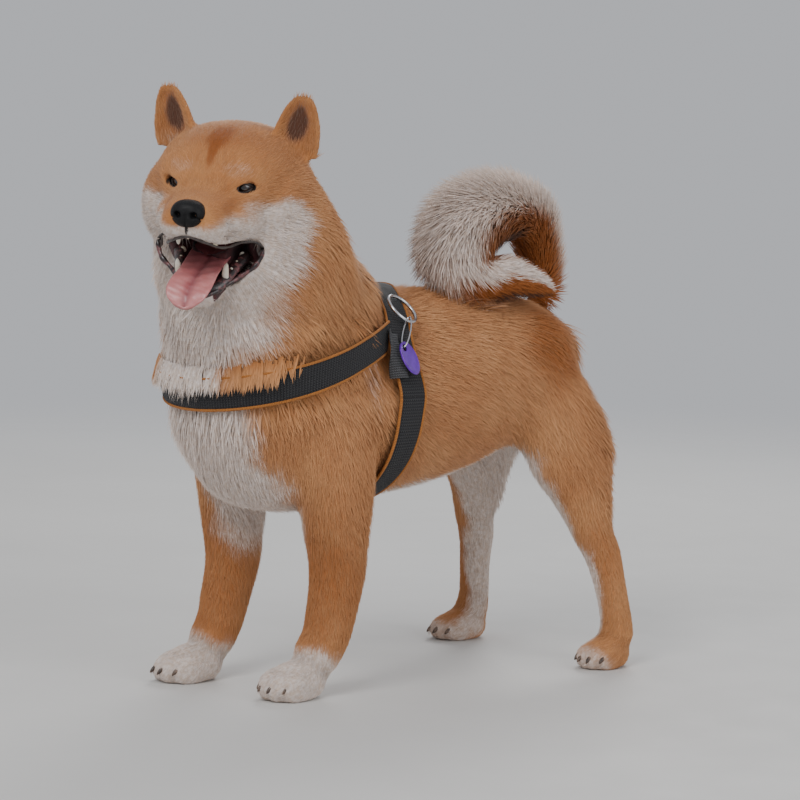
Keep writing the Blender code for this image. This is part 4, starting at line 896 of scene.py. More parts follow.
def markings(points):
    """The coat's fields at these places: cream, rust, dark, ear and mouth. Dark holds the face's
    dark skin and painted shade on the tail.
    """
    body, head = body_measures(points), head_measures(points)
    head[:, 0] = np.abs(head[:, 0])
    ragged = 0.13 * wander(points, 0.05)
    on_head = eased_step(0.0, 3.0, head[:, 1]) * eased_step(-15.5, -12.5, head[:, 2])
    cream = in_patches(body, BODY_CREAM, 0.34, ragged) * (1 - on_head)
    face = in_patches(head, HEAD_CREAM, 0.42, 1.3 * ragged)
    cream = 1 - (1 - cream) * (1 - face)
    rust = in_patches(body, BODY_RUST, 0.5, ragged)
    rust = 1 - (1 - rust) * (1 - in_patches(head, HEAD_RUST, 0.5, ragged))
    on_tail, share, nearest = tail_share(points)
    out = unit(nearest - (np.array(TAIL_MIDDLE) * CM + BODY_AT))
    outer = np.einsum("ij,ij->i", unit(points - nearest + 1e-9), out)
    tail_cream = eased_step(-0.45, 0.5, outer + 0.5 * ragged) * eased_step(0.05, 0.25, share)
    cream = cream * (1 - on_tail) + tail_cream * on_tail
    under = unit(points - nearest + 1e-9)[:, 2]
    band = eased_step(0.58, 0.68, share) * eased_step(0.3, -0.15, under + 0.5 * ragged) * on_tail
    cream = cream * (1 - band)
    rust = rust * (1 - on_tail) + np.maximum(0.75 * (1 - tail_cream), band) * on_tail
    dark = in_patches(head, HEAD_DARK, 0.2)
    # Painted shade on the tail: dark where the brush faces down, past the middle of the curl, and on
    # the inner side of the curl
    edge = eased_step(-0.55, -0.85, under) * eased_step(0.58, 0.68, share)
    inner = eased_step(0.2, 0.35, share) * eased_step(0.7, 0.6, share)
    inner *= eased_step(-0.35, -0.75, outer)
    dark = np.maximum(dark, 0.6 * np.maximum(edge, inner) * on_tail)
    ear = ear_share(points)
    return {"cream": cream, "rust": rust, "dark": dark, "ear": ear, "mouth": mouth_share(points)}


def lie_table():
    """Guides of both sides and of head and body as arrays: places, ways, lengths and lifts."""
    rows = []
    for place, way, length, lift in BODY_LIE:
        for side in (1.0, -1.0) if place[0] else (1.0,):
            spot = np.array(place) * (side, 1.0, 1.0)
            if side < 0:
                spot[1] -= right_step(spot)
            rows.append((*(spot * CM + BODY_AT), *(np.array(way) * (side, 1, 1)), length, lift))
    for place, way, length, lift in HEAD_LIE:
        for side in (1.0, -1.0) if place[0] else (1.0,):
            spot = head_point(side * place[0], place[1], place[2])
            turned = HEAD_TURN @ (side * way[0], -way[1], way[2])
            rows.append((*spot, *turned, length, lift))
    rows = np.array(rows)
    return rows[:, :3], unit(rows[:, 3:6]), rows[:, 6] * 0.001, rows[:, 7]


def lie_at(points, normals):
    """Way, length and lift of the coat at places: guides weighed by nearness, laid on the skin."""
    spots, ways, lengths, lifts = lie_table()
    way = np.empty_like(points)
    length, lift = np.empty(len(points)), np.empty(len(points))
    for start in range(0, len(points), 40000):
        part = slice(start, start + 40000)
        gap = ((points[part, None] - spots[None]) ** 2).sum(axis=2)
        weight = 1.0 / (gap + 1e-4) ** 2
        weight /= weight.sum(axis=1, keepdims=True)
        way[part] = weight @ ways
        length[part] = weight @ lengths
        lift[part] = weight @ lifts
    on_tail, _, _ = tail_share(points)
    _, _, along = tail_measures(points)
    way = way * (1 - on_tail)[:, None] + along * on_tail[:, None]
    way -= normals * np.einsum("ij,ij->i", way, normals)[:, None]
    agree = np.clip(np.linalg.norm(way, axis=1) * 1.6, 0.25, 1.0)
    return unit(way), length * agree, lift * agree, on_tail


# Skin


def merged_arrays(node):
    """A node's points and triangles with its doubles merged, and its normals."""
    work = bmesh.new()
    work.from_mesh(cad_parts[node].data)
    bmesh.ops.remove_doubles(work, verts=work.verts, dist=0.00001)
    bmesh.ops.triangulate(work, faces=work.faces)
    mesh = bpy.data.meshes.new("merged")
    work.to_mesh(mesh)
    work.free()
    points, normals = points_of(mesh), normals_of(mesh)
    triangles = read(mesh.loops, "vertex_index").reshape(-1, 3)
    bpy.data.meshes.remove(mesh)
    return points, triangles, normals


def tail_core():
    """The tail's flesh: a round section a share of the brush's radius, carried along its curl."""
    rows = curve_through(((0.0, 16.5, 33.0, 5.0), *TAIL), 6)
    path = rows[:, :3] * CM + BODY_AT
    share = TAIL_CORE + 0.35 * eased_step(2.0, 0.0, np.arange(len(rows)) / 6.0)
    points, (walls, caps) = tube(path, rows[:, 3] * share * CM, 16, up=(1.0, 0.0, 0.0))
    triangles = np.vstack([walls[:, [0, 1, 2]], walls[:, [0, 2, 3]], caps])
    return points, triangles


def reshaped(mesh, kind, weights=(), **settings):
    """The mesh after one modifier with these settings. weights holds pairs of points and their
    share in the vertex group named share."""
    holder = set_out("holder", mesh)
    for held, weight in weights:
        group = holder.vertex_groups.get("share") or holder.vertex_groups.new(name="share")
        group.add(held.tolist(), weight, "REPLACE")
    change = holder.modifiers.new("change", kind)
    for key, value in settings.items():
        setattr(change, key, value)
    graph = bpy.context.evaluated_depsgraph_get()
    made = bpy.data.meshes.new_from_object(holder.evaluated_get(graph))
    bpy.data.objects.remove(holder)
    return made


def set_points(mesh, points):
    mesh.vertices.foreach_set("co", points.astype(np.float32).ravel())
    mesh.update()


def largest_part(count, edges):
    """True for the points of the largest joined part: labels sink to the lowest along edges."""
    label = np.arange(count)
    while True:
        low = np.minimum(label[edges[:, 0]], label[edges[:, 1]])
        new = label.copy()
        np.minimum.at(new, edges[:, 0], low)
        np.minimum.at(new, edges[:, 1], low)
        new = new[new]
        if (new == label).all():
            break
        label = new
    return label == np.bincount(label).argmax()


def smoothed(points, edges, share, rounds):
    """Each point drawn towards the mean of its neighbours by its own share, several times."""
    count = len(points)
    first, second = edges[:, 0], edges[:, 1]
    degree = np.bincount(first, minlength=count) + np.bincount(second, minlength=count)
    for _ in range(rounds):
        mean = np.empty_like(points)
        for axis in range(points.shape[1]):
            column = points[:, axis]
            total = np.bincount(first, column[second], count)
            total += np.bincount(second, column[first], count)
            mean[:, axis] = total / np.maximum(degree, 1)
        points = points + (mean - points) * share[:, None]
    return points


def skin_mesh(voxel):
    """One closed skin: every fleshy node and the tail's core remeshed together, smoothed, and
    pressed inwards by the depth of the coat there."""
    spots, corners, count = [], [], 0
    for node in FLESH:
        points, triangles, normals = merged_arrays(node)
        spots.append(points + normals * CLOSE_GAP)
        corners.append(triangles + count)
        count += len(points)
    points, triangles = tail_core()
    spots.append(points)
    corners.append(triangles + count)
    rough = mesh_of("rough", np.vstack(spots), np.vstack(corners))
    whole = reshaped(rough, "REMESH", mode="VOXEL", voxel_size=voxel)
    points, edges = points_of(whole), edges_of(whole)
    keep = largest_part(len(points), edges)
    work = bmesh.new()
    work.from_mesh(whole)
    work.verts.ensure_lookup_table()
    bmesh.ops.delete(work, geom=[work.verts[i] for i in np.flatnonzero(~keep)], context="VERTS")
    work.to_mesh(whole)
    work.free()
    points, edges = points_of(whole), edges_of(whole)
    head, body = head_measures(points), (points - BODY_AT) / CM
    ruff = eased_step(-4.5, -7.5, head[:, 1] + 0.9 * head[:, 2] + 6.0)
    ruff *= eased_step(28.0, 31.0, body[:, 2]) * eased_step(2.0, -4.0, body[:, 1])
    foot = eased_step(22.0, 17.0, body[:, 2])
    face = eased_step(-6.0, -2.0, head[:, 1]) * eased_step(-16.5, -14.0, head[:, 2])
    points = smoothed(points, edges, 0.5 * (1 - 0.75 * np.maximum(foot, face)), 14)
    points = smoothed(points, edges, 0.6 * ruff, 200)
    pouch, floor = pouch_share(points)
    press = pouch * np.clip(head_measures(points)[:, 1] - floor, 0.0, None) * CM
    points = points + press[:, None] * HEAD_TURN[:, 1]
    set_points(whole, points)
    normals = normals_of(whole)
    _, length, lift, on_tail = lie_at(points, normals)
    depth = np.clip(length * lift * 0.8, 0.0004, 0.009) * (1 - on_tail)
    depth = depth * (1 - mouth_share(points)) + 0.004 * ruff
    depth = smoothed(depth[:, None], edges, np.full(len(points), 0.6), 10)[:, 0]
    points = smoothed(points - normals * depth[:, None], edges, np.full(len(points), 0.3), 3)
    points = under_chest_strap(points)
    set_points(whole, points)
    return thinned(whole, np.maximum(face, foot))


def strap_edge(end):
    """Points of the chest strap's high or low edging."""
    return points_of(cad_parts[f"chest_strap_trim_{end}"].data)


def by_bearing(edge, middle):
    """An edge's bearings round the middle, its reach from it and its height, by rising bearing."""
    about = np.arctan2(edge[:, 0] - middle[0], middle[1] - edge[:, 1])
    order = about.argsort()
    return about[order], np.hypot(*(edge - middle)[order, :2].T), edge[order, 2]


def under_chest_strap(points):
    """The skin pressed in towards the middle of the neck wherever it would reach the chest strap:
    distance and height of the strap's edges are read by their bearing round that middle."""
    edges = [strap_edge(end) for end in ("high", "low")]
    middle = np.vstack(edges).mean(axis=0) + NECK_AHEAD
    bearing = np.arctan2(points[:, 0] - middle[0], middle[1] - points[:, 1])
    far = np.hypot(points[:, 0] - middle[0], points[:, 1] - middle[1])
    rows = [by_bearing(edge, middle) for edge in edges]
    reach = [np.interp(bearing, about, row) for about, row, _ in rows]
    high, low = (np.interp(bearing, about, height) for about, _, height in rows)
    band = eased_step(high + 0.010, high, points[:, 2]) * eased_step(low - 0.010, low, points[:, 2])
    first, last = max(about[0] for about, _, _ in rows), min(about[-1] for about, _, _ in rows)
    band *= eased_step(first - 0.05, first + 0.05, bearing)
    band *= eased_step(last + 0.05, last - 0.05, bearing)
    press = band * np.clip(far - np.minimum(*reach) + STRAP_REST, 0.0, 0.03)
    inward = (middle - points) * (1.0, 1.0, 0.0) / np.maximum(far, 0.01)[:, None]
    return points + inward * press[:, None]


def thinned(whole, keep):
    """The mesh with fewer triangles where keep is nought."""
    levels = np.clip((4.0 * (1 - keep)).round(), 0, 4)
    weights = [(np.flatnonzero(levels == level), level / 4.0) for level in range(1, 5)]
    ratio = min(1.0, SKIN_TRIANGLES / (2.0 * len(whole.polygons)))
    return reshaped(whole, "DECIMATE", weights, vertex_group="share", ratio=ratio)


def unwrap(obj):
    """Lays the skin's own shape out flat, in a map named OFBake."""
    layer = obj.data.uv_layers.new(name="OFBake")
    layer.active = True
    bpy.ops.object.select_all(action="DESELECT")
    obj.select_set(True)
    bpy.context.view_layer.objects.active = obj
    bpy.ops.object.mode_set(mode="EDIT")
    bpy.ops.mesh.select_all(action="SELECT")
    bpy.ops.uv.smart_project(angle_limit=math.radians(66.0), island_margin=0.002)
    bpy.ops.object.mode_set(mode="OBJECT")


# Coat


def skin_triangles(skin):
    """Triangles of the skin as corner points, and their places on its map."""
    mesh = skin.data
    mesh.calc_loop_triangles()
    corners, loops = (read(mesh.loop_triangles, key, 3) for key in ("vertices", "loops"))
    places = read(mesh.uv_layers["OFBake"].uv, "vector", 2, np.float32)
    return corners, places[loops]


def scattered(skin, density, count, seed):
    """Roots spread over the skin by area times a density at its points.

    Returns places, normals and places on the map, from random shares of each triangle.
    """
    points, normals = points_of(skin.data), normals_of(skin.data)
    corners, places = skin_triangles(skin)
    a, b, c = (points[corners[:, k]] for k in range(3))
    area = np.linalg.norm(np.cross(b - a, c - a), axis=1) / 2
    weight = np.cumsum(area * density[corners].mean(axis=1))
    rng = np.random.default_rng(seed)
    even = (np.arange(count) + rng.random(count)) / count
    chosen = np.searchsorted(weight, even * weight[-1]).clip(0, len(corners) - 1)
    s, t = np.sqrt(rng.random(count)), rng.random(count)
    shares = np.stack([1 - s, s * (1 - t), s * t], axis=1)[:, :, None]
    roots = (points[corners[chosen]] * shares).sum(axis=1)
    out = unit((normals[corners[chosen]] * shares).sum(axis=1))
    return roots, out, (places[chosen] * shares).sum(axis=1), rng


def on_skin(skin, points, offset=0.0):
    """The nearest places of the skin, or places this far above them."""
    spots = bpy.data.meshes.new("spots")
    spots.vertices.add(len(points))
    set_points(spots, points)
    mode = "ABOVE_SURFACE" if offset else "ON_SURFACE"
    made = reshaped(
        spots, "SHRINKWRAP", target=skin, wrap_method="NEAREST_SURFACEPOINT", wrap_mode=mode,
        offset=offset,
    )
    out = points_of(made)
    for mesh in (spots, made):
        bpy.data.meshes.remove(mesh)
    return out


def along_skin(skin, roots, reach, length):
    """Where a hair of this length ends when it follows the skin, and the normal there."""
    ends = on_skin(skin, roots + reach)
    above = on_skin(skin, roots + reach, 0.004)
    jumped = np.linalg.norm(ends - roots - reach, axis=1) > 0.6 * length
    ends[jumped] = (roots + reach)[jumped]
    return ends, unit(above - ends)


def coat_piece(name, look, roots, out, points, shape, places, strand):
    """A joined mesh of tufts of one shape with its markings, tip shares and map. Each face's
    normal is drawn towards the skin's own, so that the coat shades softly."""
    faces, tips, patch = shape
    each = points.shape[1]
    count = len(points)
    corners = (np.arange(count)[:, None, None] * each + np.array(faces)[None]).reshape(-1, 3)
    mesh = mesh_of(name, points.reshape(-1, 3), corners)
    for field, values in markings(roots).items():
        if field != "mouth":
            add_field(mesh, field, np.repeat(values, each))
    add_field(mesh, "strand", np.repeat(strand, each))
    add_field(mesh, "tip", np.tile(tips, count))
    spread = places[:, None] + np.array(patch)[None] * MAP_PATCH
    add_map(mesh, "OFBake", spread.reshape(-1, 2))
    a, b, c = (points.reshape(-1, 3)[corners[:, k]] for k in range(3))
    flat = unit(np.cross(b - a, c - a)) + SOFT_SHADE * np.repeat(out, len(faces), axis=0)
    obj = put_out(name, mesh, look)
    mesh.normals_split_custom_set(np.repeat(unit(flat), 3, axis=0).astype(np.float32))
    return obj


# A short tuft's faces, share along the hair at each point, and places on its map's patch
SHORT_FACES = ((0, 1, 2), (0, 2, 3), (2, 1, 3), (0, 3, 1))
SHORT_TIPS = (0.0, 0.0, 0.12, 1.0)
SHORT_PATCH = ((-1.0, -1.0), (1.0, -1.0), (0.0, -0.4), (0.0, 1.0))


def short_tufts(name, skin, look, density, count, seed, wide):
    """Short coat: each tuft is a flat three-sided spike. Its root is sunk in the skin, and its
    tip ends a hair's length along the lie, pressed to the skin and raised by the coat's lift."""
    roots, out, places, rng = scattered(skin, density, count, seed)
    way, length, lift, _ = lie_at(roots, out)
    side = np.cross(out, way)
    swing = rng.normal(0.0, 0.16, count)
    way = unit(way + side * swing[:, None])
    side = np.cross(out, way)
    length = length * rng.uniform(0.7, 1.15, count)
    width = wide * (0.55 + 0.45 * np.clip(length / 0.02, 0.3, 1.4))
    width = width * rng.uniform(0.75, 1.25, count)
    ends, end_out = along_skin(skin, roots, way * length[:, None], length)
    rise = length * lift * rng.uniform(0.5, 1.3, count)
    tip = ends + end_out * rise[:, None]
    low = roots - out * 0.0003
    half = side * width[:, None] / 2
    ridge = roots + out * (width * 0.3)[:, None] + way * (width * 0.5)[:, None]
    points = np.stack([low + half, low - half, ridge, tip], axis=1)
    shape = (SHORT_FACES, SHORT_TIPS, SHORT_PATCH)
    return coat_piece(name, look, roots, out, points, shape, places, rng.random(count))


def spike_faces(sections):
    """Faces of a closed three-sided spike of this many sections and a tip."""
    faces = [(0, 1, 2)]
    for i in range(sections - 1):
        for k in range(3):
            a, b = 3 * i + k, 3 * i + (k + 1) % 3
            faces += [(a, a + 3, b + 3), (a, b + 3, b)]
    last, tip = 3 * (sections - 1), 3 * sections
    faces += [(last + k, tip, last + (k + 1) % 3) for k in range(3)]
    return faces


# Share along a lock and its width there
LOCK = ((0.0, 0.8), (0.5, 0.95))


def long_tufts(name, grown, look, wide, bend):
    """Long coat: each lock is a three-sided spike of a few sections on a bent line that starts
    steeply and leans over towards the lie. grown holds the roots, and bend(roots, out) gives way,
    length, and the angles off the skin that it starts and ends at."""
    roots, out, places, rng = grown
    count = len(roots)
    way, length, start, end = bend(roots, out)
    side = np.cross(out, way)
    way = unit(way + side * rng.normal(0.0, 0.16, count)[:, None])
    side = np.cross(out, way)
    length = length * rng.uniform(0.72, 1.12, count)
    start = np.clip(start * rng.uniform(0.75, 1.25, count), 0.02, 1.4)
    end = end * rng.uniform(0.7, 1.3, count)
    width = wide * rng.uniform(0.7, 1.3, count)
    first = way * np.cos(start)[:, None] + out * np.sin(start)[:, None]
    last = way * np.cos(end)[:, None] + out * np.sin(end)[:, None]
    sections = []
    for share, broad in LOCK:
        run = first * (share - share * share / 2) + last * (share * share / 2)
        spot = roots - out * 0.0005 + run * length[:, None]
        half = (width * broad / 2)[:, None]
        lean = unit(first * (1 - share) + last * share)
        top = unit(np.cross(lean, side))
        sections += [spot + side * half, spot - side * half, spot + top * half * 0.6]
    sections.append(roots + (first + last) / 2 * length[:, None])
    points = np.stack(sections, axis=1)
    tips = [share for share, _ in LOCK for _ in range(3)] + [1.0]
    patch = []
    for share, _ in LOCK:
        patch += [(-1.0, 2 * share - 1), (1.0, 2 * share - 1), (0.0, 2 * share - 0.9)]
    shape = (spike_faces(len(LOCK)), tips, [*patch, (0.0, 1.0)])
    return coat_piece(name, look, roots, out, points, shape, places, rng.random(count))


# Face


def eye_axes(way):
    """Across, gaze and up of an eye, in the world."""
    turn = turn_about("Z", way * EYE_TURN) @ turn_about("Y", -way * EYE_SLANT)
    return (HEAD_TURN @ turn).T * np.array((1.0, -1.0, 1.0))[:, None]


def eye_middle(way):
    return head_point(way * EYE_AT[0], EYE_AT[1], EYE_AT[2])


def eyeball(name, way, radius, look, node):
    """A globe whose radius swells in a low dome over the iris. Rings run out from the pupil."""
    across, gaze, up = eye_axes(way)
    rings, sides = 40, 48
    spread = (np.linspace(0.0, 1.0, rings + 1)[1:-1] ** 1.3 * math.pi)[:, None]
    about = circle(sides)[None, :]
    reach = radius * (1.0 + 0.045 * np.exp(-((spread / 0.55) ** 2)))
    flat = reach * np.sin(spread)
    rows = (
        (flat * np.cos(about))[..., None] * across
        + (flat * np.sin(about))[..., None] * up
        + (reach * np.cos(spread) + 0 * about)[..., None] * gaze
    )
    poles = np.stack([gaze * radius * 1.045, -gaze * radius])
    points = np.vstack([rows.reshape(-1, 3), poles]) + eye_middle(way)
    mesh = outward(mesh_of(name, points, *tube_faces(rings - 1, sides)))
    fan = np.concatenate([np.repeat(spread[:, 0], sides), [0.0, math.pi]])
    add_field(mesh, "from_pupil", fan / 0.62)
    add_field(mesh, "about_pupil", np.concatenate([np.tile(about[0] * 2, rings - 1), [0.0, 0.0]]))
    return put_out(name, mesh, look, node)


def lids(name, way, skin, wide, tall, look):
    """Dark lid rims: an almond of sines about the gaze, pointed towards the outer corner. Rows
    go out from the edge on the globe, over a round margin, and down into the skin."""
    across, gaze, up = eye_axes(way)
    sides = 72
    a = circle(sides)
    x = np.cos(a)
    z = squared_off(np.sin(a), 1.25)
    z = np.where(z > 0, z, z * 0.85)
    outer = x * way > 0
    rows = []
    for scale, lift in LID_ROWS:
        stretch = np.where(outer, 1.0 + 0.22 * (scale - 0.9) / 0.6 * np.abs(x) ** 3, 1.0)
        flat_x = x * wide / 2 * scale * stretch
        flat_z = z * tall / 2 * scale + 0.03 * (scale - 0.9)
        reach = 1.05 + lift
        depth = np.sqrt(np.maximum(reach**2 - flat_x**2 - flat_z**2, 0.05))
        spot = flat_x[:, None] * across + flat_z[:, None] * up + depth[:, None] * gaze
        rows.append(spot * CM + eye_middle(way))
    flat = on_skin(skin, rows[-1])
    rows[-1] = 0.35 * rows[-1] + 0.65 * flat - gaze * 0.0006
    rows[-2] = 0.7 * rows[-2] + 0.3 * on_skin(skin, rows[-2], 0.0004)
    rings = np.stack(rows)
    if way < 0:
        rings = rings[:, ::-1]
    mesh = mesh_of(name, rings.reshape(-1, 3), grid_faces(len(rows), sides, round_columns=True))
    obj = walled(put_out(name, mesh, look), 0.0006, -1.0)
    sub = obj.modifiers.new("soft", "SUBSURF")
    sub.levels = sub.render_levels = 1
    return obj


def nose_pad(name, look):
    """A rounded block: an ellipsoid squared off in front, with two comma nostrils, wings beside
    them and a groove down the middle pressed in by bell curves."""
    rows, sides = 64, 96
    up = np.linspace(-0.5, 0.5, rows + 2)[1:-1, None] * math.pi
    about = circle(sides)[None, :]
    power = 0.8
    cx = np.cos(up) ** power * squared_off(np.cos(about), power)
    cy = np.cos(up) ** power * squared_off(np.sin(about), power)
    cz = squared_off(np.sin(up), power) + 0 * about
    narrow = 1.0 - 0.16 * np.clip(-cz, 0, 1) - 0.08 * np.clip(cz, 0, 1)
    x, y, z = cx * NOSE_RADII[0] * narrow, cy * NOSE_RADII[1], cz * NOSE_RADII[2]
    front = eased_step(0.0, 0.6, cy)
    out = np.abs(x)
    hole = ((out - 0.74) / 0.30) ** 2 + ((z + 0.02 - 0.1 * (out - 0.74)) / 0.27) ** 2
    hole = np.exp(-(hole**1.5))
    slit_line = -0.12 - 0.55 * (out - 0.9)
    slit = np.exp(-(((z - slit_line) / 0.10) ** 2)) * eased_step(0.75, 1.0, out)
    groove = np.exp(-((x / 0.07) ** 2)) * eased_step(0.35, -0.15, z)
    y = y - front * (0.62 * hole + 0.16 * groove) - eased_step(-0.3, 0.3, cy) * 0.22 * slit
    x = x * (1 - 0.06 * slit)
    rim = np.exp(-(((np.abs(x) - 0.74) / 0.5) ** 2 + ((z + 0.02) / 0.46) ** 2) ** 2) * (1 - hole)
    y = y + 0.09 * rim * front
    points = head_point(x + NOSE_AT[0], y + NOSE_AT[1], z + NOSE_AT[2]).reshape(-1, 3)
    low, high = NOSE_AT[2] - NOSE_RADII[2], NOSE_AT[2] + NOSE_RADII[2]
    poles = head_point([0.0, 0.0], [NOSE_AT[1]] * 2, [low, high])
    mesh = outward(mesh_of(name, np.vstack([points, poles]), *tube_faces(rows, sides)))
    return put_out(name, mesh, look, "nose")


def lip(name, path, radius, look):
    """A soft roll along the edge of the lip, wavering a little in thickness."""
    share = np.linspace(0.0, 1.0, len(path))
    waver = 1.0 + 0.12 * np.sin(share * 61.0) + 0.08 * np.sin(share * 97.0 + 1.0)
    ends = eased_step(0.0, 0.05, share) * eased_step(1.0, 0.95, share)
    radius = radius * waver * (0.35 + 0.65 * ends)
    points, faces = tube(path, radius, 14, flat=0.8, up=HEAD_TURN[:, 1])
    return put_out(name, outward(mesh_of(name, points, *faces)), look)


def lip_paths():
    upper, lower = (curve_through(both_sides(row), 14) for row in (UPPER_LIP, LOWER_LIP))
    return head_point(*upper.T), jaw_point(*lower.T)


def mouth_corner(name, way, look):
    """The web of skin at a corner of the mouth: ruled between the lips and bowed inwards."""
    upper, lower = (path if way > 0 else path[::-1] for path in lip_paths())
    rows, count = 12, 18
    t = np.linspace(0, 1, rows)[:, None, None]
    inward = HEAD_TURN @ np.array((-way * 0.4, 1.0, 0.0)) * CM
    fold = (np.sin(t * math.pi) * 0.45 + 0.06 * np.sin(t * 5 * math.pi)) * inward
    share = np.linspace(0.0, 1.0, count)[None, :, None]
    sheet = upper[:count] * (1 - t) + lower[:count] * t + fold * (1 - 0.3 * share)
    narrow = eased_step(1.0, 0.35, share) * 0.5 + 0.5
    middle = upper[:count] * 0.12 + lower[:count] * 0.88
    sheet = middle + (sheet - middle) * narrow
    mesh = mesh_of(name, sheet.reshape(-1, 3), grid_faces(rows, count))
    return walled(put_out(name, mesh, look), 0.0012, 0.0)


def tongue(name, look):
    """A long blade: flat oval sections along the jaw, curled up at the rims, with a groove down
    the middle pressed in by a bell curve, low waves along it, and a round tip."""
    rows = curve_through(TONGUE, 9)
    x, along, above, half, thick = (rows[:, k : k + 1] for k in range(5))
    sides = 48
    a = circle(sides)[None, :]
    c, s = np.cos(a), np.sin(a)
    top = eased_step(-0.2, 0.6, s)
    curl = 0.35 * np.abs(c) ** 2 - 0.2 * np.exp(-((c / 0.16) ** 2)) * top
    wave = 0.03 * np.sin(along * 5.0 + 3.0 * c) + 0.02 * np.sin(along * 11.0 - 7 * c)
    flat = squared_off(s, 0.8)
    points = jaw_point(x + half * c, along + 0 * c, above + thick * flat + curl + wave * top)
    tip = points[-1].mean(axis=0) + (points[-1] - points[-2]).mean(axis=0)
    poles = np.stack([points[0].mean(axis=0), tip])
    mesh = mesh_of(name, np.vstack([points.reshape(-1, 3), poles]), *tube_faces(len(rows), sides))
    middle = np.exp(-((c / 0.2) ** 2)) * top + 0 * along
    add_field(mesh, "groove", np.concatenate([middle.ravel(), [0.0, 0.0]]))
    share = np.repeat(np.linspace(0, 1, len(rows)), sides)
    add_field(mesh, "along", np.concatenate([share, [0.0, 1.0]]))
    return put_out(name, outward(mesh), look, "tongue")


def tongue_look(name, colours):
    """Pink flesh, darker as painted shade in the groove and towards the root, with fine buds and a
    wet coat.
    """
    look, nodes, shader = new_look(
        name, Coat_Weight=0.35, Coat_Roughness=0.25, Subsurface_Weight=0.12,
        Subsurface_Radius=(0.006, 0.002, 0.001),
    )
    place = nodes.place()
    blotch = nodes.noise(place, 55.0, 4.0, 0.6)
    colour = nodes.ramp(blotch, (0.3, rgba(colours.tongue)), (0.7, rgba(colours.tongue_light)))
    # Painted shade: darker in the middle groove and towards the root, deep in the mouth
    painted_deep_shade = (0.26, 0.07, 0.08, 1.0)
    colour = nodes.mix(nodes.times(nodes.field("groove"), 0.75), colour, painted_deep_shade)
    colour = nodes.mix(nodes.between(nodes.field("along"), 0.55, 0.1), colour, painted_deep_shade)
    buds = nodes.put("ShaderNodeTexVoronoi", feature="SMOOTH_F1")
    nodes.link(place, buds.inputs["Vector"])
    buds.inputs["Scale"].default_value = 950.0
    surface(nodes, shader, colour, nodes.between(blotch, 0.3, 0.7, 0.32, 0.5))
    bump(nodes, shader, buds.outputs["Distance"], 0.35, 0.0004)
    return look


def tooth_part(roots, lean, rise, radius, height):
    """A tooth: round sections shrinking along a bent line, flattened across."""
    t = np.linspace(-0.25, 1.0, 9)[:, None]
    shape = radius * np.sqrt(np.clip(1.0 - np.clip(t, 0, 1) ** 1.7, 0.0004, 1.0))
    path = roots + rise * t * height + lean * (t.clip(0) ** 2) * height * 0.32
    return tube(path, shape[:, 0], 12, flat=0.8, up=HEAD_TURN[:, 1])


def teeth(name, look, rows, place, spread, rise, *nodes):
    """A row of teeth of both sides of one jaw. place is the jaw's measures, and each tooth's tip
    lies spread further out and rise further up than its root."""
    parts = []
    back = HEAD_TURN @ np.array((0.0, 1.0, 0.0)) * CM
    for way in (-1, 1):
        for x, forward, high, radius, height in rows:
            root = place(way * x, forward, high)
            tip = place(way * (x + spread), forward, high + rise)
            parts.append(tooth_part(root, back, tip - root, radius * CM, height))
    return put_out(name, outward(joined_mesh(name, parts)), look, *nodes)


def gums(name, look):
    """A soft ridge that the lower teeth stand in."""
    path = jaw_point(*curve_through(both_sides(GUM), 8).T)
    points, faces = tube(path, sizes().gum, 16, flat=0.55, up=HEAD_TURN[:, 1])
    return put_out(name, outward(mesh_of(name, points, *faces)), look)


def whiskers(name, skin, look, seed):
    """Stiff tapering hairs that sweep back from the muzzle."""
    rng = np.random.default_rng(seed)
    parts = []
    for way in (-1, 1):
        for forward, up in WHISKERS:
            root = on_skin(skin, head_point(way * 3.0, forward, up)[None])[0]
            aim = HEAD_TURN @ np.array((way * 1.0, rng.uniform(0.25, 0.6), rng.uniform(-0.35, 0.1)))
            bend = HEAD_TURN @ np.array((0.0, 0.6, -0.5))
            t = np.linspace(0.0, 1.0, 10)[:, None]
            length = rng.uniform(0.022, 0.032)
            path = root + aim * t * length + bend * t**2 * length * 0.5
            parts.append(tube(path, 0.00022 * (1.02 - t[:, 0]), 5, up=HEAD_TURN[:, 1]))
    return put_out(name, outward(joined_mesh(name, parts)), look)


def claws(name, paw, look):
    """Four short claws: round sections on a bent line from each toe tip down to the floor."""
    end, length, width, height, ahead, out = PAWS[paw]
    foot = np.array((end[0], end[1] - ahead, 0.0)) * CM + BODY_AT
    turn = turn_about("Z", math.radians(out))
    parts = []
    t = np.linspace(0.0, 1.0, 9)[:, None]
    for across, reach in TOES:
        root = np.array((across * width, -(reach + 0.13) * length, height * 0.43))
        path = root + t * np.array((0.0, -1.2, 0.0)) + t**2 * np.array((0.0, 0.1, -0.55))
        radius = (0.27 * np.sqrt(np.clip(1.03 - t**1.6, 0.02, 1.0)) * CM)[:, 0]
        parts.append(tube(foot + path * CM @ turn.T, radius, 12, flat=1.15))
    return put_out(name, outward(joined_mesh(name, parts)), look)


# Harness


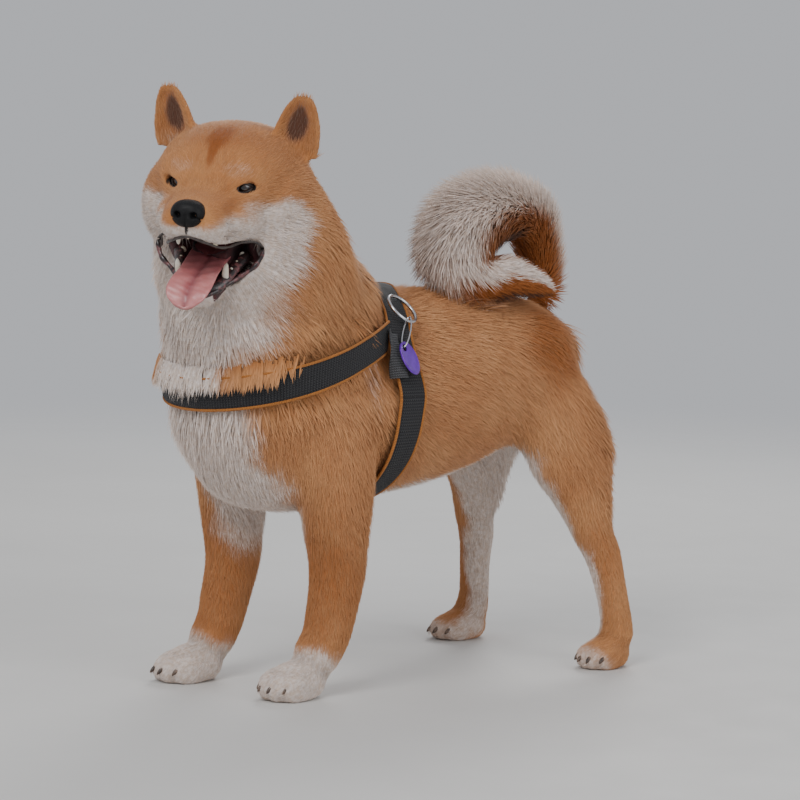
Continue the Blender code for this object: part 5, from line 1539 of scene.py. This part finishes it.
def strap_sections(node, origin, first, last, count, flat_axis):
    """The strap's CAD sections as inner and outer points across it, by their angle about the
    strap's own middle line and by their reach from it."""
    points, _, _ = merged_arrays(node)
    x, y, z = (points - BODY_AT - np.array(origin) * CM).T
    rise, run = (z, x) if flat_axis == 1 else (x, -y)
    angle, reach = np.degrees(np.arctan2(rise, run)), np.hypot(rise, run)
    centre = (first + last) / 2
    past = (angle - centre + 180.0) % 360.0 - 180.0 + centre - first
    index = np.round(past / ((last - first) / count)).astype(int)
    closed = abs(last - first) >= 360.0
    if closed:
        index %= count
    inner, outer = [], []
    for k in range(count if closed else count + 1):
        own = np.flatnonzero(index == k)
        own = own[np.argsort(points[own, flat_axis])]
        pairs = own[:6].reshape(3, 2)
        near = np.take_along_axis(pairs, np.argsort(reach[pairs], axis=1), axis=1)
        inner.append(points[near[:, 0]])
        outer.append(points[near[:, 1]])
    return np.stack(inner), np.stack(outer)


def finer(rows, spans, closed):
    """Catmull-Rom through sections of points, keeping each section whole."""
    count = len(rows)
    flat = rows.reshape(count, -1)
    if not closed:
        return curve_through(flat, spans).reshape(-1, *rows.shape[1:])
    wide = np.vstack([flat[-3:], flat, flat[:3]])
    fine = curve_through(wide, spans)[3 * spans : (3 + count) * spans]
    return fine.reshape(-1, *rows.shape[1:])


def run_along(line):
    """Distance from a line's first point to each of its points."""
    steps = np.linalg.norm(np.diff(line, axis=0), axis=1)
    return np.concatenate([[0.0], np.cumsum(steps)])


# Middles of the loops that the straps lie on, and the degrees round them that they run between
GIRTH_MIDDLE = (0.0, 0.0, 29.0)
CHEST_MIDDLE = (0.0, -11.5, 0.0)
CHEST_ENDS = (-111.0, 111.0)
KEEPER_ENDS = {"left": (10.0, 34.0), "right": (170.0, 146.0)}
STRAP_SPANS = 10


def strap_band(name, inner, outer, closed, look, *nodes, crown=0.0):
    """A woven band: its own sections made finer, an oval rim round the thickness, and a weave map
    in metres along and across."""
    columns = 13
    inner, outer = finer(inner, STRAP_SPANS, closed), finer(outer, STRAP_SPANS, closed)
    across = np.linspace(0.0, 1.0, columns)
    bow = (4 * across * (1 - across))[None, :, None]

    def spread(rows):
        a, b, c = rows[:, 0:1], rows[:, 1:2], rows[:, 2:3]
        t = across[None, :, None] * 2
        first, second = a + (b - a) * t, b + (c - b) * (t - 1)
        blend = a * (1 - t / 2) + c * (t / 2) + (b - (a + c) / 2) * bow
        return 0.6 * blend + 0.4 * np.where(t < 1, first, second)

    low, high = spread(inner), spread(outer)
    middle, half = (low + high) / 2, (high - low) / 2
    thin = (1 - np.abs(2 * across - 1) ** 6 * 0.55)[None, :, None]
    low, high = middle - half * thin, middle + half * thin * (1 + crown * bow)
    ring = np.concatenate([high, low[:, ::-1]], axis=1)
    rows, sides = ring.shape[:2]
    faces = [grid_faces(rows, sides, closed, True)]
    if not closed:
        k = np.arange(columns - 1)
        ends = np.stack([k, 2 * columns - 1 - k, 2 * columns - 2 - k, k + 1], axis=1)
        faces += [ends[:, ::-1], ends + (rows - 1) * sides]
    mesh = outward(mesh_of(name, ring.reshape(-1, 3), *faces))
    wide = np.linalg.norm(middle[0, -1] - middle[0, 0])
    place = np.empty((rows, sides, 2))
    place[..., 0] = run_along(middle[:, columns // 2])[:, None]
    place[..., 1] = np.concatenate([across, across[::-1]])[None] * wide
    add_map(mesh, "weave", place.reshape(-1, 2))
    return put_out(name, mesh, look, *nodes)


def piping(name, inner, outer, edge, closed, radius, look, node):
    """Corded edging: a round roll beside one edge of a strap, with its own weave map."""
    sides = 12
    inner, outer = finer(inner, STRAP_SPANS, closed), finer(outer, STRAP_SPANS, closed)
    centre = (inner[:, edge] + outer[:, edge]) / 2
    aside = unit(inner[:, edge] - inner[:, 1])
    up = unit(outer[:, edge] - inner[:, edge])
    centre = centre + aside * radius * 0.75
    a = circle(sides)[None, :, None]
    rim = aside[:, None] * np.cos(a) * radius + up[:, None] * np.sin(a) * radius * 1.05
    rings = centre[:, None] + rim
    rows = len(rings)
    if closed:
        mesh = mesh_of(name, rings.reshape(-1, 3), grid_faces(rows, sides, True, True))
    else:
        points = np.vstack([rings.reshape(-1, 3), centre[0], centre[-1]])
        mesh = mesh_of(name, points, *tube_faces(rows, sides))
    mesh = outward(mesh)
    place = np.empty((rows, sides, 2))
    place[..., 0] = run_along(centre)[:, None]
    place[..., 1] = (circle(sides) * radius)[None]
    place = place.reshape(-1, 2)
    if not closed:
        place = np.vstack([place, place[0], place[-1]])
    add_map(mesh, "weave", place)
    return put_out(name, mesh, look, node)


def fitted_ring(name, node, look, wire, around, sides, oval):
    """A closed ring of round wire on the CAD ring's own plane, middle and half lengths."""
    points, _, _ = merged_arrays(node)
    middle = points.mean(axis=0)
    _, _, axes = np.linalg.svd(points - middle)
    local = (points - middle) @ axes.T
    half = np.abs(local).max(axis=0) - wire
    if not oval:
        half[:2] = half[:2].mean()
    a, b = circle(around)[:, None], circle(sides)[None, :]
    line = np.concatenate([np.cos(a) * half[0], np.sin(a) * half[1]], axis=1)
    away = unit(np.concatenate([np.cos(a) * half[1], np.sin(a) * half[0]], axis=1))
    flat = line[:, None] + away[:, None] * (np.cos(b) * wire)[..., None]
    lift = np.broadcast_to(np.sin(b) * wire, flat.shape[:2])
    rings = flat[..., :1] * axes[0] + flat[..., 1:] * axes[1] + lift[..., None] * axes[2] + middle
    mesh = outward(mesh_of(name, rings.reshape(-1, 3), grid_faces(around, sides, True, True)))
    return put_out(name, mesh, look, node)


# The tag's upper half: share of the way from the hole to the rim, and share of half its thickness
TAG_PROFILE = (
    (0.0, 0.0), (0.0, 0.6), (0.03, 0.75), (0.55, 0.75), (0.80, 0.75),
    (0.84, 1.0), (0.95, 1.0), (0.99, 0.6), (1.0, 0.0),
)


def tag_plate(name, look):
    """The oval tag: one profile carried round from the hole's edge over a raised border, round
    the outer edge and back underneath."""
    points, _, _ = merged_arrays("name_tag")
    middle = (points.min(axis=0) + points.max(axis=0)) / 2
    _, _, axes = np.linalg.svd(points - points.mean(axis=0))
    local = (points - middle) @ axes.T
    low, high = local.min(axis=0), local.max(axis=0)
    centre, half = (low + high) / 2, (high - low) / 2
    ring = np.hypot((local[:, 0] - centre[0]) / half[0], (local[:, 1] - centre[1]) / half[1])
    hole = local[ring < 0.86]
    hole_at = hole[:, :2].mean(axis=0)
    hole_radius = np.linalg.norm(hole[:, :2] - hole_at, axis=1).max()
    share, rise = np.array(TAG_PROFILE).T
    share, rise = np.concatenate([share, share[-2:0:-1]]), np.concatenate([rise, -rise[-2:0:-1]])
    a = circle(72)[None, :, None]
    turn = np.concatenate([np.cos(a), np.sin(a)], axis=-1)
    rim, bore = centre[:2] + half[:2] * turn, hole_at + hole_radius * turn
    flat = bore + (rim - bore) * share[:, None, None]
    thick = centre[2] + half[2] * rise[:, None] + np.zeros((1, 72))
    place = flat[..., :1] * axes[0] + flat[..., 1:] * axes[1] + thick[..., None] * axes[2] + middle
    mesh = outward(mesh_of(name, place.reshape(-1, 3), grid_faces(len(share), 72, True, True)))
    return put_out(name, mesh, look, "name_tag")


# Sizes and colours


def colour(name, description, default):
    return FloatVectorProperty(
        name=name, description=description, default=default, subtype="COLOR", size=3, min=0, max=1
    )


def measure(name, description, default):
    return FloatProperty(
        name=name, description=description, default=default, min=0, unit="LENGTH", precision=5
    )


def tally(name, description, default):
    return IntProperty(name=name, description=description, default=default, min=1)


class ShibaColours(bpy.types.PropertyGroup):
    red: colour("Red coat", "Back, flanks and crown", (0.46, 0.175, 0.052))
    red_light: colour("Light red coat", "Paler patches of the red coat", (0.56, 0.25, 0.09))
    rust: colour("Rust", "Forehead's streak, saddle, inside of the tail", (0.32, 0.095, 0.018))
    sand: colour("Sand tips", "Tips of the red hairs", (0.72, 0.46, 0.27))
    cream: colour("Cream coat", "Cheeks, throat and legs", (0.66, 0.53, 0.44))
    white: colour("White coat", "Lightest hairs of the cream", (0.78, 0.69, 0.64))
    # The ear hollow colour is painted shade in the middle of the hollow; the light ear hollow colour
    # is the skin's own
    ear: colour("Ear hollow", "Skin inside the ears", (0.105, 0.036, 0.016))
    ear_light: colour("Light ear hollow", "Paler skin inside the ears", (0.42, 0.17, 0.07))
    # Dark skin also colours the painted shade under the tail and inside its curl
    dark: colour("Dark skin", "Rims of the eyes and corners of the mouth", (0.022, 0.016, 0.014))
    iris: colour("Iris", "Brown of the eyes", (0.03, 0.012, 0.006))
    nose: colour("Nose", "Leather of the nose", (0.0045, 0.0045, 0.005))
    tongue: colour("Tongue", "Deeper pink of the tongue", (0.50, 0.155, 0.155))
    tongue_light: colour("Light tongue", "Lighter pink of the tongue", (0.62, 0.25, 0.24))
    web: colour("Webbing", "Straps", (0.012, 0.012, 0.014))
    web_worn: colour("Worn webbing", "Ridges of the straps", (0.048, 0.048, 0.050))
    edging: colour("Edging", "Corded edges of the straps", (0.72, 0.26, 0.05))
    steel: colour("Steel", "Rings", (0.70, 0.71, 0.74))
    violet: colour("Tag", "Anodised name tag", (0.17, 0.02, 0.55))


class ShibaSizes(bpy.types.PropertyGroup):
    voxel: measure("Skin grid", "Grid that the skin is remeshed on", 0.0024)
    tuft: measure("Tuft width", "Width of a tuft of the short coat", 0.0017)
    face_tuft: measure("Face tuft width", "Width of a tuft of the face", 0.0011)
    lock: measure("Lock width", "Width of a lock of the long coat", 0.0018)
    body_tufts: tally("Body tufts", "Tufts in each piece of the short coat", 39000)
    face_tufts: tally("Face tufts", "Tufts in each piece of the face", 38000)
    ruff_locks: tally("Ruff locks", "Locks in each piece of the ruff", 13500)
    breech_locks: tally("Breech locks", "Locks behind the thighs", 6500)
    fringe_locks: tally("Fringe locks", "Locks that hang over the chest strap", 1500)
    paw_tufts: tally("Paw tufts", "Tufts of the four paws", 14000)
    brush_locks: tally("Brush locks", "Locks in each piece of the tail", 14000)
    eye: measure("Eye radius", "Radius of the eyeballs", 0.0105)
    eye_wide: measure("Lid opening", "Width between the lids", 0.0185)
    eye_tall: measure("Lid height", "Height between the lids", 0.0084)
    upper_lip: measure("Upper lip", "Radius of the upper lip's edge", 0.0012)
    lower_lip: measure("Lower lip", "Radius of the lower lip's edge", 0.0023)
    gum: measure("Gum", "Radius of the ridge that the lower teeth stand in", 0.0052)
    edging: measure("Edging radius", "Radius of the corded edges", 0.0015)
    ring_wire: measure("Ring wire", "Radius of the lead ring's wire", 0.0017)
    split_wire: measure("Split ring wire", "Radius of the tag ring's wire", 0.0008)


def sizes():
    return bpy.context.scene.shiba_sizes


def colours():
    return bpy.context.scene.shiba_colours


def skin():
    return bpy.data.objects["skin"]


def coat():
    return bpy.data.materials["coat"]


def dark_skin():
    if "dark skin" in bpy.data.materials:
        return bpy.data.materials["dark skin"]
    dark = colours().dark
    pale = [c * 3.2 for c in dark]
    return tinted_look("dark skin", dark, pale, 260.0, (0.3, 0.55), 0.0003, Coat_Weight=0.15)


def zones(points):
    """Shares of the skin for each part of the coat: face, foot, tail, ruff and breech."""
    head, body = head_measures(points), (points - BODY_AT) / CM
    on_tail, _, _ = tail_share(points)
    face = eased_step(-3.5, -0.5, head[:, 1]) * eased_step(-17.0, -15.0, head[:, 2])
    ears = eased_step(0.5, 2.0, head[:, 2]) * eased_step(3.5, 2.5, np.abs(head[:, 1]))
    face = np.maximum(face, ears)
    foot = eased_step(7.0, 5.0, body[:, 2])
    fore = eased_step(2.0, -3.0, body[:, 1]) * eased_step(26.0, 31.0, body[:, 2])
    ruff = fore * (1 - face) * eased_step(-4.0, -10.0, body[:, 1])
    breech = eased_step(19.5, 23.0, body[:, 1]) * eased_step(14.0, 18.0, body[:, 2]) * (1 - on_tail)
    return {"face": face * (1 - foot), "foot": foot, "tail": on_tail, "ruff": ruff, "breech": breech}


def above_chest_strap(count, seed):
    """Roots of the fringe that hangs over the chest strap in front: on its upper edge, with their
    outward ways and their places on a square."""
    edge = strap_edge("high")
    middle = edge.mean(axis=0) + NECK_AHEAD
    about, reach, heights = by_bearing(edge, middle)
    rng = np.random.default_rng(seed)
    bearing = rng.uniform(about[0], about[-1], 20 * count)
    far, height = np.interp(bearing, about, reach), np.interp(bearing, about, heights)
    across = far * np.sin(bearing) + middle[0]
    share = eased_step(0.110, 0.070, across) * eased_step(-0.080, -0.060, across)
    share *= eased_step(1.35, 1.15, np.abs(bearing))
    kept = np.flatnonzero(rng.random(len(share)) < share)[:count]
    bearing, far, height = bearing[kept], far[kept], height[kept]
    out = np.stack([np.sin(bearing), -np.cos(bearing), np.zeros(len(kept))], axis=1)
    above = rng.uniform(0.0, 0.012, len(kept))
    roots = out * (far - 0.25 * above)[:, None] + (middle[0], middle[1], 0.0)
    roots[:, 2] = height + above
    places = np.stack([0.5 + bearing / 7, rng.random(len(kept))], axis=1)
    return roots, out, places, rng


def under_strap_share(points):
    """One on the skin under the chest strap, nought beyond its edges."""
    body = (points - BODY_AT) / CM
    near = np.flatnonzero((body[:, 2] > 24.0) & (body[:, 1] < -6.0))
    high, low = strap_edge("high"), strap_edge("low")
    over, high_gap = nearest_on(high, points[near])
    beneath, low_gap = nearest_on(low, points[near])
    held = eased_step(0.036, 0.030, np.minimum(high_gap, low_gap))
    held *= eased_step(0.002, -0.001, points[near, 2] - high[over, 2])
    under = np.zeros(len(points))
    under[near] = held * eased_step(-0.002, 0.001, points[near, 2] - low[beneath, 2])
    return under


def ruff_bend(roots, out):
    """Locks of the ruff and breeches lie almost along the coat's own lie."""
    way, length, lift, _ = lie_at(roots, out)
    return way, length * 1.1, 0.16 + 0.8 * lift, 0.02 + 0.2 * lift


def fringe_bend(roots, out):
    """Locks of the fringe leave the strap's edge outwards and hang straight down."""
    one = np.ones(len(roots))
    return one[:, None] * (0.0, 0.0, -1.0), 0.02 * one, 0.42 * one, 0.03 * one


def brush_bend(roots, out):
    """Locks of the brush stand off the tail's core and reach out to the brush's radius."""
    way, _, _, _ = lie_at(roots, out)
    one = np.ones(len(roots))
    length = brush_radius(tail_measures(roots)[0]) * (1 - TAIL_CORE) * 1.75
    return way, length, 0.92 * one, 0.28 * one


def even_places(mesh):
    """One where the skin lies even, nought on the flanks of small folds."""
    normals = normals_of(mesh)
    broad = unit(smoothed(normals, edges_of(mesh), np.full(len(normals), 0.6), 60))
    return eased_step(0.74, 0.9, np.einsum("ij,ij->i", normals, broad))


def bare(points):
    """One where no hair grows: the mouth's lining, the nose and inside the lids."""
    head = head_measures(points)
    head[:, 0] = np.abs(head[:, 0])
    eye = np.linalg.norm((head - (3.15, 7.9, -3.85)) / (0.95, 2.2, 0.5), axis=1)
    nose = np.linalg.norm((head - NOSE_AT) / (np.array(NOSE_RADII) * 1.05), axis=1)
    hidden = np.maximum(eased_step(1.15, 0.95, eye), eased_step(1.1, 0.95, nose))
    hidden = np.maximum(hidden, eased_step(0.2, 0.5, mouth_share(points)))
    near = np.flatnonzero((head[:, 1] > 2.0) & (head[:, 2] < -6.0) & (head[:, 2] > -16.0))
    _, gap = nearest_on(np.vstack(lip_paths()), points[near])
    hidden[near] = np.maximum(hidden[near], eased_step(0.0042, 0.0026, gap))
    return np.maximum(hidden, 0.75 * ear_share(points))


class SHIBA_OT_skin(bpy.types.Operator):
    """Builds the one skin under the whole coat"""

    bl_idname = "shiba.skin"
    bl_label = "Skin"

    def execute(self, context):
        group = coat_colour_group(colours())
        coat_look("coat", group, False)
        look = coat_look("skin", group, True)
        mesh = skin_mesh(sizes().voxel)
        mesh.name = "skin"
        mesh.materials.clear()
        points = points_of(mesh)
        for name, values in markings(points).items():
            add_field(mesh, name, values)
        add_field(mesh, "strand", 0.5 + 0.5 * wander(points, 0.004))
        # The skin counts as the roots of the hairs, so the coat's painted root shade darkens it too
        add_field(mesh, "tip", np.full(len(points), 0.1))
        unwrap(put_out("skin", mesh, look, *FLESH, *BRUSH))
        return {"FINISHED"}


class SHIBA_OT_short_coat(bpy.types.Operator):
    """Grows the short coat of body and legs"""

    bl_idname = "shiba.short_coat"
    bl_label = "Short coat"

    def execute(self, context):
        points = points_of(skin().data)
        zone = zones(points)
        density = (1 - zone["tail"]) * (1 - zone["face"]) * (1 - zone["foot"])
        density *= 1 - 0.55 * zone["ruff"]
        density *= (1 - bare(points)) * (1 - zone["ruff"] * (1 - even_places(skin().data)))
        density *= 1 - 0.95 * under_strap_share(points)
        body = (points - BODY_AT) / CM
        front = eased_step(-3.0, -5.0, body[:, 1])
        for name, share, seed in (("coat_front", front, 11), ("coat_back", 1 - front, 12)):
            for layer in range(2):
                short_tufts(
                    f"{name}_{layer + 1}", skin(), coat(), density * share, sizes().body_tufts,
                    seed + 10 * layer, sizes().tuft,
                )
        return {"FINISHED"}


class SHIBA_OT_fine_coat(bpy.types.Operator):
    """Grows the fine short hair of face, ears and paws"""

    bl_idname = "shiba.fine_coat"
    bl_label = "Fine coat"

    def execute(self, context):
        points = points_of(skin().data)
        zone = zones(points)
        face = zone["face"] * (1 - bare(points))
        wide = sizes().face_tuft
        short_tufts("coat_face", skin(), coat(), face, sizes().face_tufts, 31, wide)
        short_tufts("coat_paws", skin(), coat(), zone["foot"], sizes().paw_tufts, 32, wide)
        return {"FINISHED"}


class SHIBA_OT_long_coat(bpy.types.Operator):
    """Grows the long coat of ruff, cheeks, breeches and tail"""

    bl_idname = "shiba.long_coat"
    bl_label = "Long coat"

    def execute(self, context):
        points = points_of(skin().data)
        zone = zones(points)
        ruff = zone["ruff"] * even_places(skin().data) * (1 - under_strap_share(points))
        breech, tail = zone["breech"], zone["tail"]
        size = sizes()
        wide, narrow = size.lock, size.lock * 0.72
        for name, grown, width, bend in (
            ("ruff_1", scattered(skin(), ruff, size.ruff_locks, 40), wide, ruff_bend),
            ("ruff_2", scattered(skin(), ruff, size.ruff_locks, 41), wide, ruff_bend),
            ("fringe", above_chest_strap(size.fringe_locks, 47), wide, fringe_bend),
            ("breeches", scattered(skin(), breech, size.breech_locks, 42), wide, ruff_bend),
            ("tail_1", scattered(skin(), tail, size.brush_locks, 43), narrow, brush_bend),
            ("tail_2", scattered(skin(), tail, size.brush_locks, 44), narrow, brush_bend),
        ):
            long_tufts(f"coat_{name}", grown, coat(), width, bend)
        return {"FINISHED"}


class SHIBA_OT_eyes(bpy.types.Operator):
    """Builds the eyeballs and their dark lids"""

    bl_idname = "shiba.eyes"
    bl_label = "Eyes"

    def execute(self, context):
        look = eye_look("eye", colours())
        for side, way in (("left", 1), ("right", -1)):
            eyeball(f"eyeball_{side}", way, sizes().eye, look, f"eye_{side}")
            wide, tall = sizes().eye_wide / CM, sizes().eye_tall / CM
            lids(f"lids_{side}", way, skin(), wide, tall, dark_skin())
        return {"FINISHED"}


class SHIBA_OT_mouth(bpy.types.Operator):
    """Builds nose, lips, teeth, gums, tongue and whiskers"""

    bl_idname = "shiba.mouth"
    bl_label = "Nose and mouth"

    def execute(self, context):
        nose_pad("nose_pad", leather_look("nose leather", colours()))
        upper, lower = lip_paths()
        lip("upper_lip", upper, sizes().upper_lip, dark_skin())
        gum = tinted_look(
            "gum", (0.018, 0.009, 0.010), (0.30, 0.10, 0.10), 150.0, (0.25, 0.4),
            spread=(0.5, 0.72), Coat_Weight=0.4,
        )
        lip("lower_lip", lower, sizes().lower_lip, gum)
        for side, way in (("left", 1), ("right", -1)):
            mouth_corner(f"mouth_corner_{side}", way, dark_skin())
        tongue("tongue_blade", tongue_look("tongue flesh", colours()))
        enamel = tinted_look(
            "enamel", (0.62, 0.52, 0.36), (0.80, 0.76, 0.66), 90.0, (0.15, 0.3), 0.0001,
            Coat_Weight=0.5,
        )
        teeth("teeth_lower", enamel, LOWER_TEETH, jaw_point, 0.12, 1.0, "lower_teeth")
        teeth("teeth_upper", enamel, UPPER_TEETH, head_point, 0.06, -1.0)
        gums("gums", gum)
        hair = tinted_look(
            "whisker", (0.05, 0.03, 0.02), (0.5, 0.42, 0.36), 60.0, (0.3, 0.5), 0.0001
        )
        whiskers("whiskers", skin(), hair, 5)
        return {"FINISHED"}


class SHIBA_OT_claws(bpy.types.Operator):
    """Builds the claws"""

    bl_idname = "shiba.claws"
    bl_label = "Claws"

    def execute(self, context):
        horn = tinted_look(
            "claw horn", (0.035, 0.022, 0.016), (0.20, 0.13, 0.09), 160.0, (0.28, 0.45), 0.0002
        )
        for paw in PAWS:
            claws(f"claws_{paw}", paw, horn)
        return {"FINISHED"}


class SHIBA_OT_harness(bpy.types.Operator):
    """Builds the straps, their edging and keepers, the rings and the tag"""

    bl_idname = "shiba.harness"
    bl_label = "Harness"

    def execute(self, context):
        c = colours()
        web = weave_look("webbing", c.web, c.web_worn, 0.0030)
        cord = weave_look("edging cord", [v * 0.55 for v in c.edging], c.edging, 0.0016)
        sewn = weave_look("keeper webbing", (0.03, 0.03, 0.033), (0.16, 0.165, 0.17), 0.0024)
        girth = strap_sections("girth_strap", GIRTH_MIDDLE, 0.0, 360.0, 30, 1)
        chest = strap_sections("chest_strap", CHEST_MIDDLE, *CHEST_ENDS, 27, 2)
        for part, rows, closed in (("girth", girth, True), ("chest", chest, False)):
            strap_band(f"{part}_webbing", *rows, closed, web, f"{part}_strap")
            for edge, end in ((0, "low"), (2, "high")):
                piping(
                    f"{part}_edging_{end}", *rows, edge, closed, sizes().edging, cord,
                    f"{part}_strap_trim_{end}",
                )
        for side, ends in KEEPER_ENDS.items():
            rows = strap_sections(f"strap_keeper_{side}", GIRTH_MIDDLE, *ends, 6, 1)
            strap_band(f"keeper_{side}", *rows, False, sewn, f"strap_keeper_{side}", crown=0.4)
        steel = metal_look("ring steel", c.steel, 0.14)
        fitted_ring("lead_ring", "harness_ring", steel, sizes().ring_wire, 96, 20, False)
        fitted_ring("tag_split_ring", "tag_ring", steel, sizes().split_wire, 72, 14, True)
        violet = tinted_look(
            "violet tag", [v * 0.7 for v in c.violet], c.violet, 120.0, (0.14, 0.28), 0.0001,
            Metallic=0.35, Coat_Weight=0.6,
        )
        tag_plate("tag", violet)
        return {"FINISHED"}


def faded(look):
    """The floor's own look, clear far from the middle so that no horizon shows."""
    nodes = Nodes(look.node_tree)
    far = nodes.put("ShaderNodeVectorMath", operation="LENGTH")
    nodes.link(nodes.place(), far.inputs[0])
    alpha = look.node_tree.nodes["Principled BSDF"].inputs["Alpha"]
    nodes.link(nodes.between(far.outputs["Value"], 3.2, 1.2), alpha)
    return look


def floor(look):
    """A flat square a hair below the paws."""
    t = np.linspace(-FLOOR_REACH, FLOOR_REACH, 25)
    x, y = np.meshgrid(t, t, indexing="ij")
    points = np.stack([x, y, 0 * x - 0.0002], axis=-1).reshape(-1, 3)
    mesh = mesh_of("floor", points, grid_faces(25, 25)[:, ::-1])
    mesh.materials.append(faded(look))
    set_out("floor", mesh)


def lamp(name, place, aim, size, power):
    """A round soft lamp turned at its aim."""
    data = bpy.data.lights.new(name, "AREA")
    data.shape, data.size, data.energy = "DISK", size, power
    way = unit(np.array(place) - np.array(aim))
    side = unit(np.cross((0.0, 0.0, 1.0), way))
    turn = np.stack([side, np.cross(way, side), way], axis=1)
    set_out(name, data).matrix_world = Matrix.Translation(place) @ Matrix(turn.tolist()).to_4x4()


def camera():
    """A camera at the photo's own view: azimuth and pitch turn it, roll tilts it about its aim."""
    sine, cosine = math.sin(CAMERA_AZIMUTH), math.cos(CAMERA_AZIMUTH)
    right = np.array((cosine, sine, 0.0))
    ahead = np.array((-sine, cosine, 0.0)) * math.cos(CAMERA_PITCH)
    ahead = ahead - np.array((0.0, 0.0, 1.0)) * math.sin(CAMERA_PITCH)
    up = np.cross(right, ahead)
    c, s = math.cos(CAMERA_ROLL), math.sin(CAMERA_ROLL)
    turn = np.stack([right * c + up * s, up * c - right * s, -ahead], axis=1)
    data = bpy.data.cameras.new("camera")
    data.sensor_width = SENSOR_WIDTH
    data.lens = SENSOR_WIDTH * CAMERA_REACH
    data.clip_start, data.clip_end = 0.1, 60.0
    obj = set_out("camera", data)
    obj.matrix_world = Matrix.Translation(CAMERA_AT) @ Matrix(turn.tolist()).to_4x4()
    return obj


class SHIBA_OT_stage(bpy.types.Operator):
    """Sets the pale floor, the soft studio light and the camera"""

    bl_idname = "shiba.stage"
    bl_label = "Stage"

    def execute(self, context):
        scene = context.scene
        stone = (0.62, 0.61, 0.59), (0.66, 0.65, 0.63)
        floor(tinted_look("floor", *stone, 1.5, (0.6, 0.75), 0.0002))
        scene.world = scene.world or bpy.data.worlds.new("studio")
        scene.world.use_nodes = True
        sky = scene.world.node_tree.nodes["Background"].inputs
        sky["Color"].default_value, sky["Strength"].default_value = (0.93, 0.95, 1.0, 1.0), 0.55
        for row in LAMPS:
            lamp(*row)
        scene.camera = camera()
        scene.view_settings.view_transform = "AgX"
        return {"FINISHED"}


STEPS = (
    SHIBA_OT_skin,
    SHIBA_OT_short_coat,
    SHIBA_OT_fine_coat,
    SHIBA_OT_long_coat,
    SHIBA_OT_eyes,
    SHIBA_OT_mouth,
    SHIBA_OT_claws,
    SHIBA_OT_harness,
    SHIBA_OT_stage,
)


class SHIBA_PT_panel(bpy.types.Panel):
    """Sizes, colours and steps of the dog"""

    bl_label = "Shiba Inu"
    bl_idname = "SHIBA_PT_panel"
    bl_space_type = "VIEW_3D"
    bl_region_type = "UI"
    bl_category = "Shiba"

    def draw(self, context):
        for step in STEPS:
            self.layout.operator(step.bl_idname)
        for group in (context.scene.shiba_sizes, context.scene.shiba_colours):
            box = self.layout.box()
            for name in group.__annotations__:
                box.prop(group, name)


CLASSES = (ShibaColours, ShibaSizes, *STEPS, SHIBA_PT_panel)


def register():
    for made in CLASSES:
        bpy.utils.register_class(made)
    bpy.types.Scene.shiba_sizes = PointerProperty(type=ShibaSizes)
    bpy.types.Scene.shiba_colours = PointerProperty(type=ShibaColours)


def unregister():
    del bpy.types.Scene.shiba_sizes
    del bpy.types.Scene.shiba_colours
    for made in reversed(CLASSES):
        bpy.utils.unregister_class(made)


def main():
    register()
    for step in STEPS:
        group, name = step.bl_idname.split(".")
        getattr(getattr(bpy.ops, group), name)()


if __name__ == "__main__":
    main()
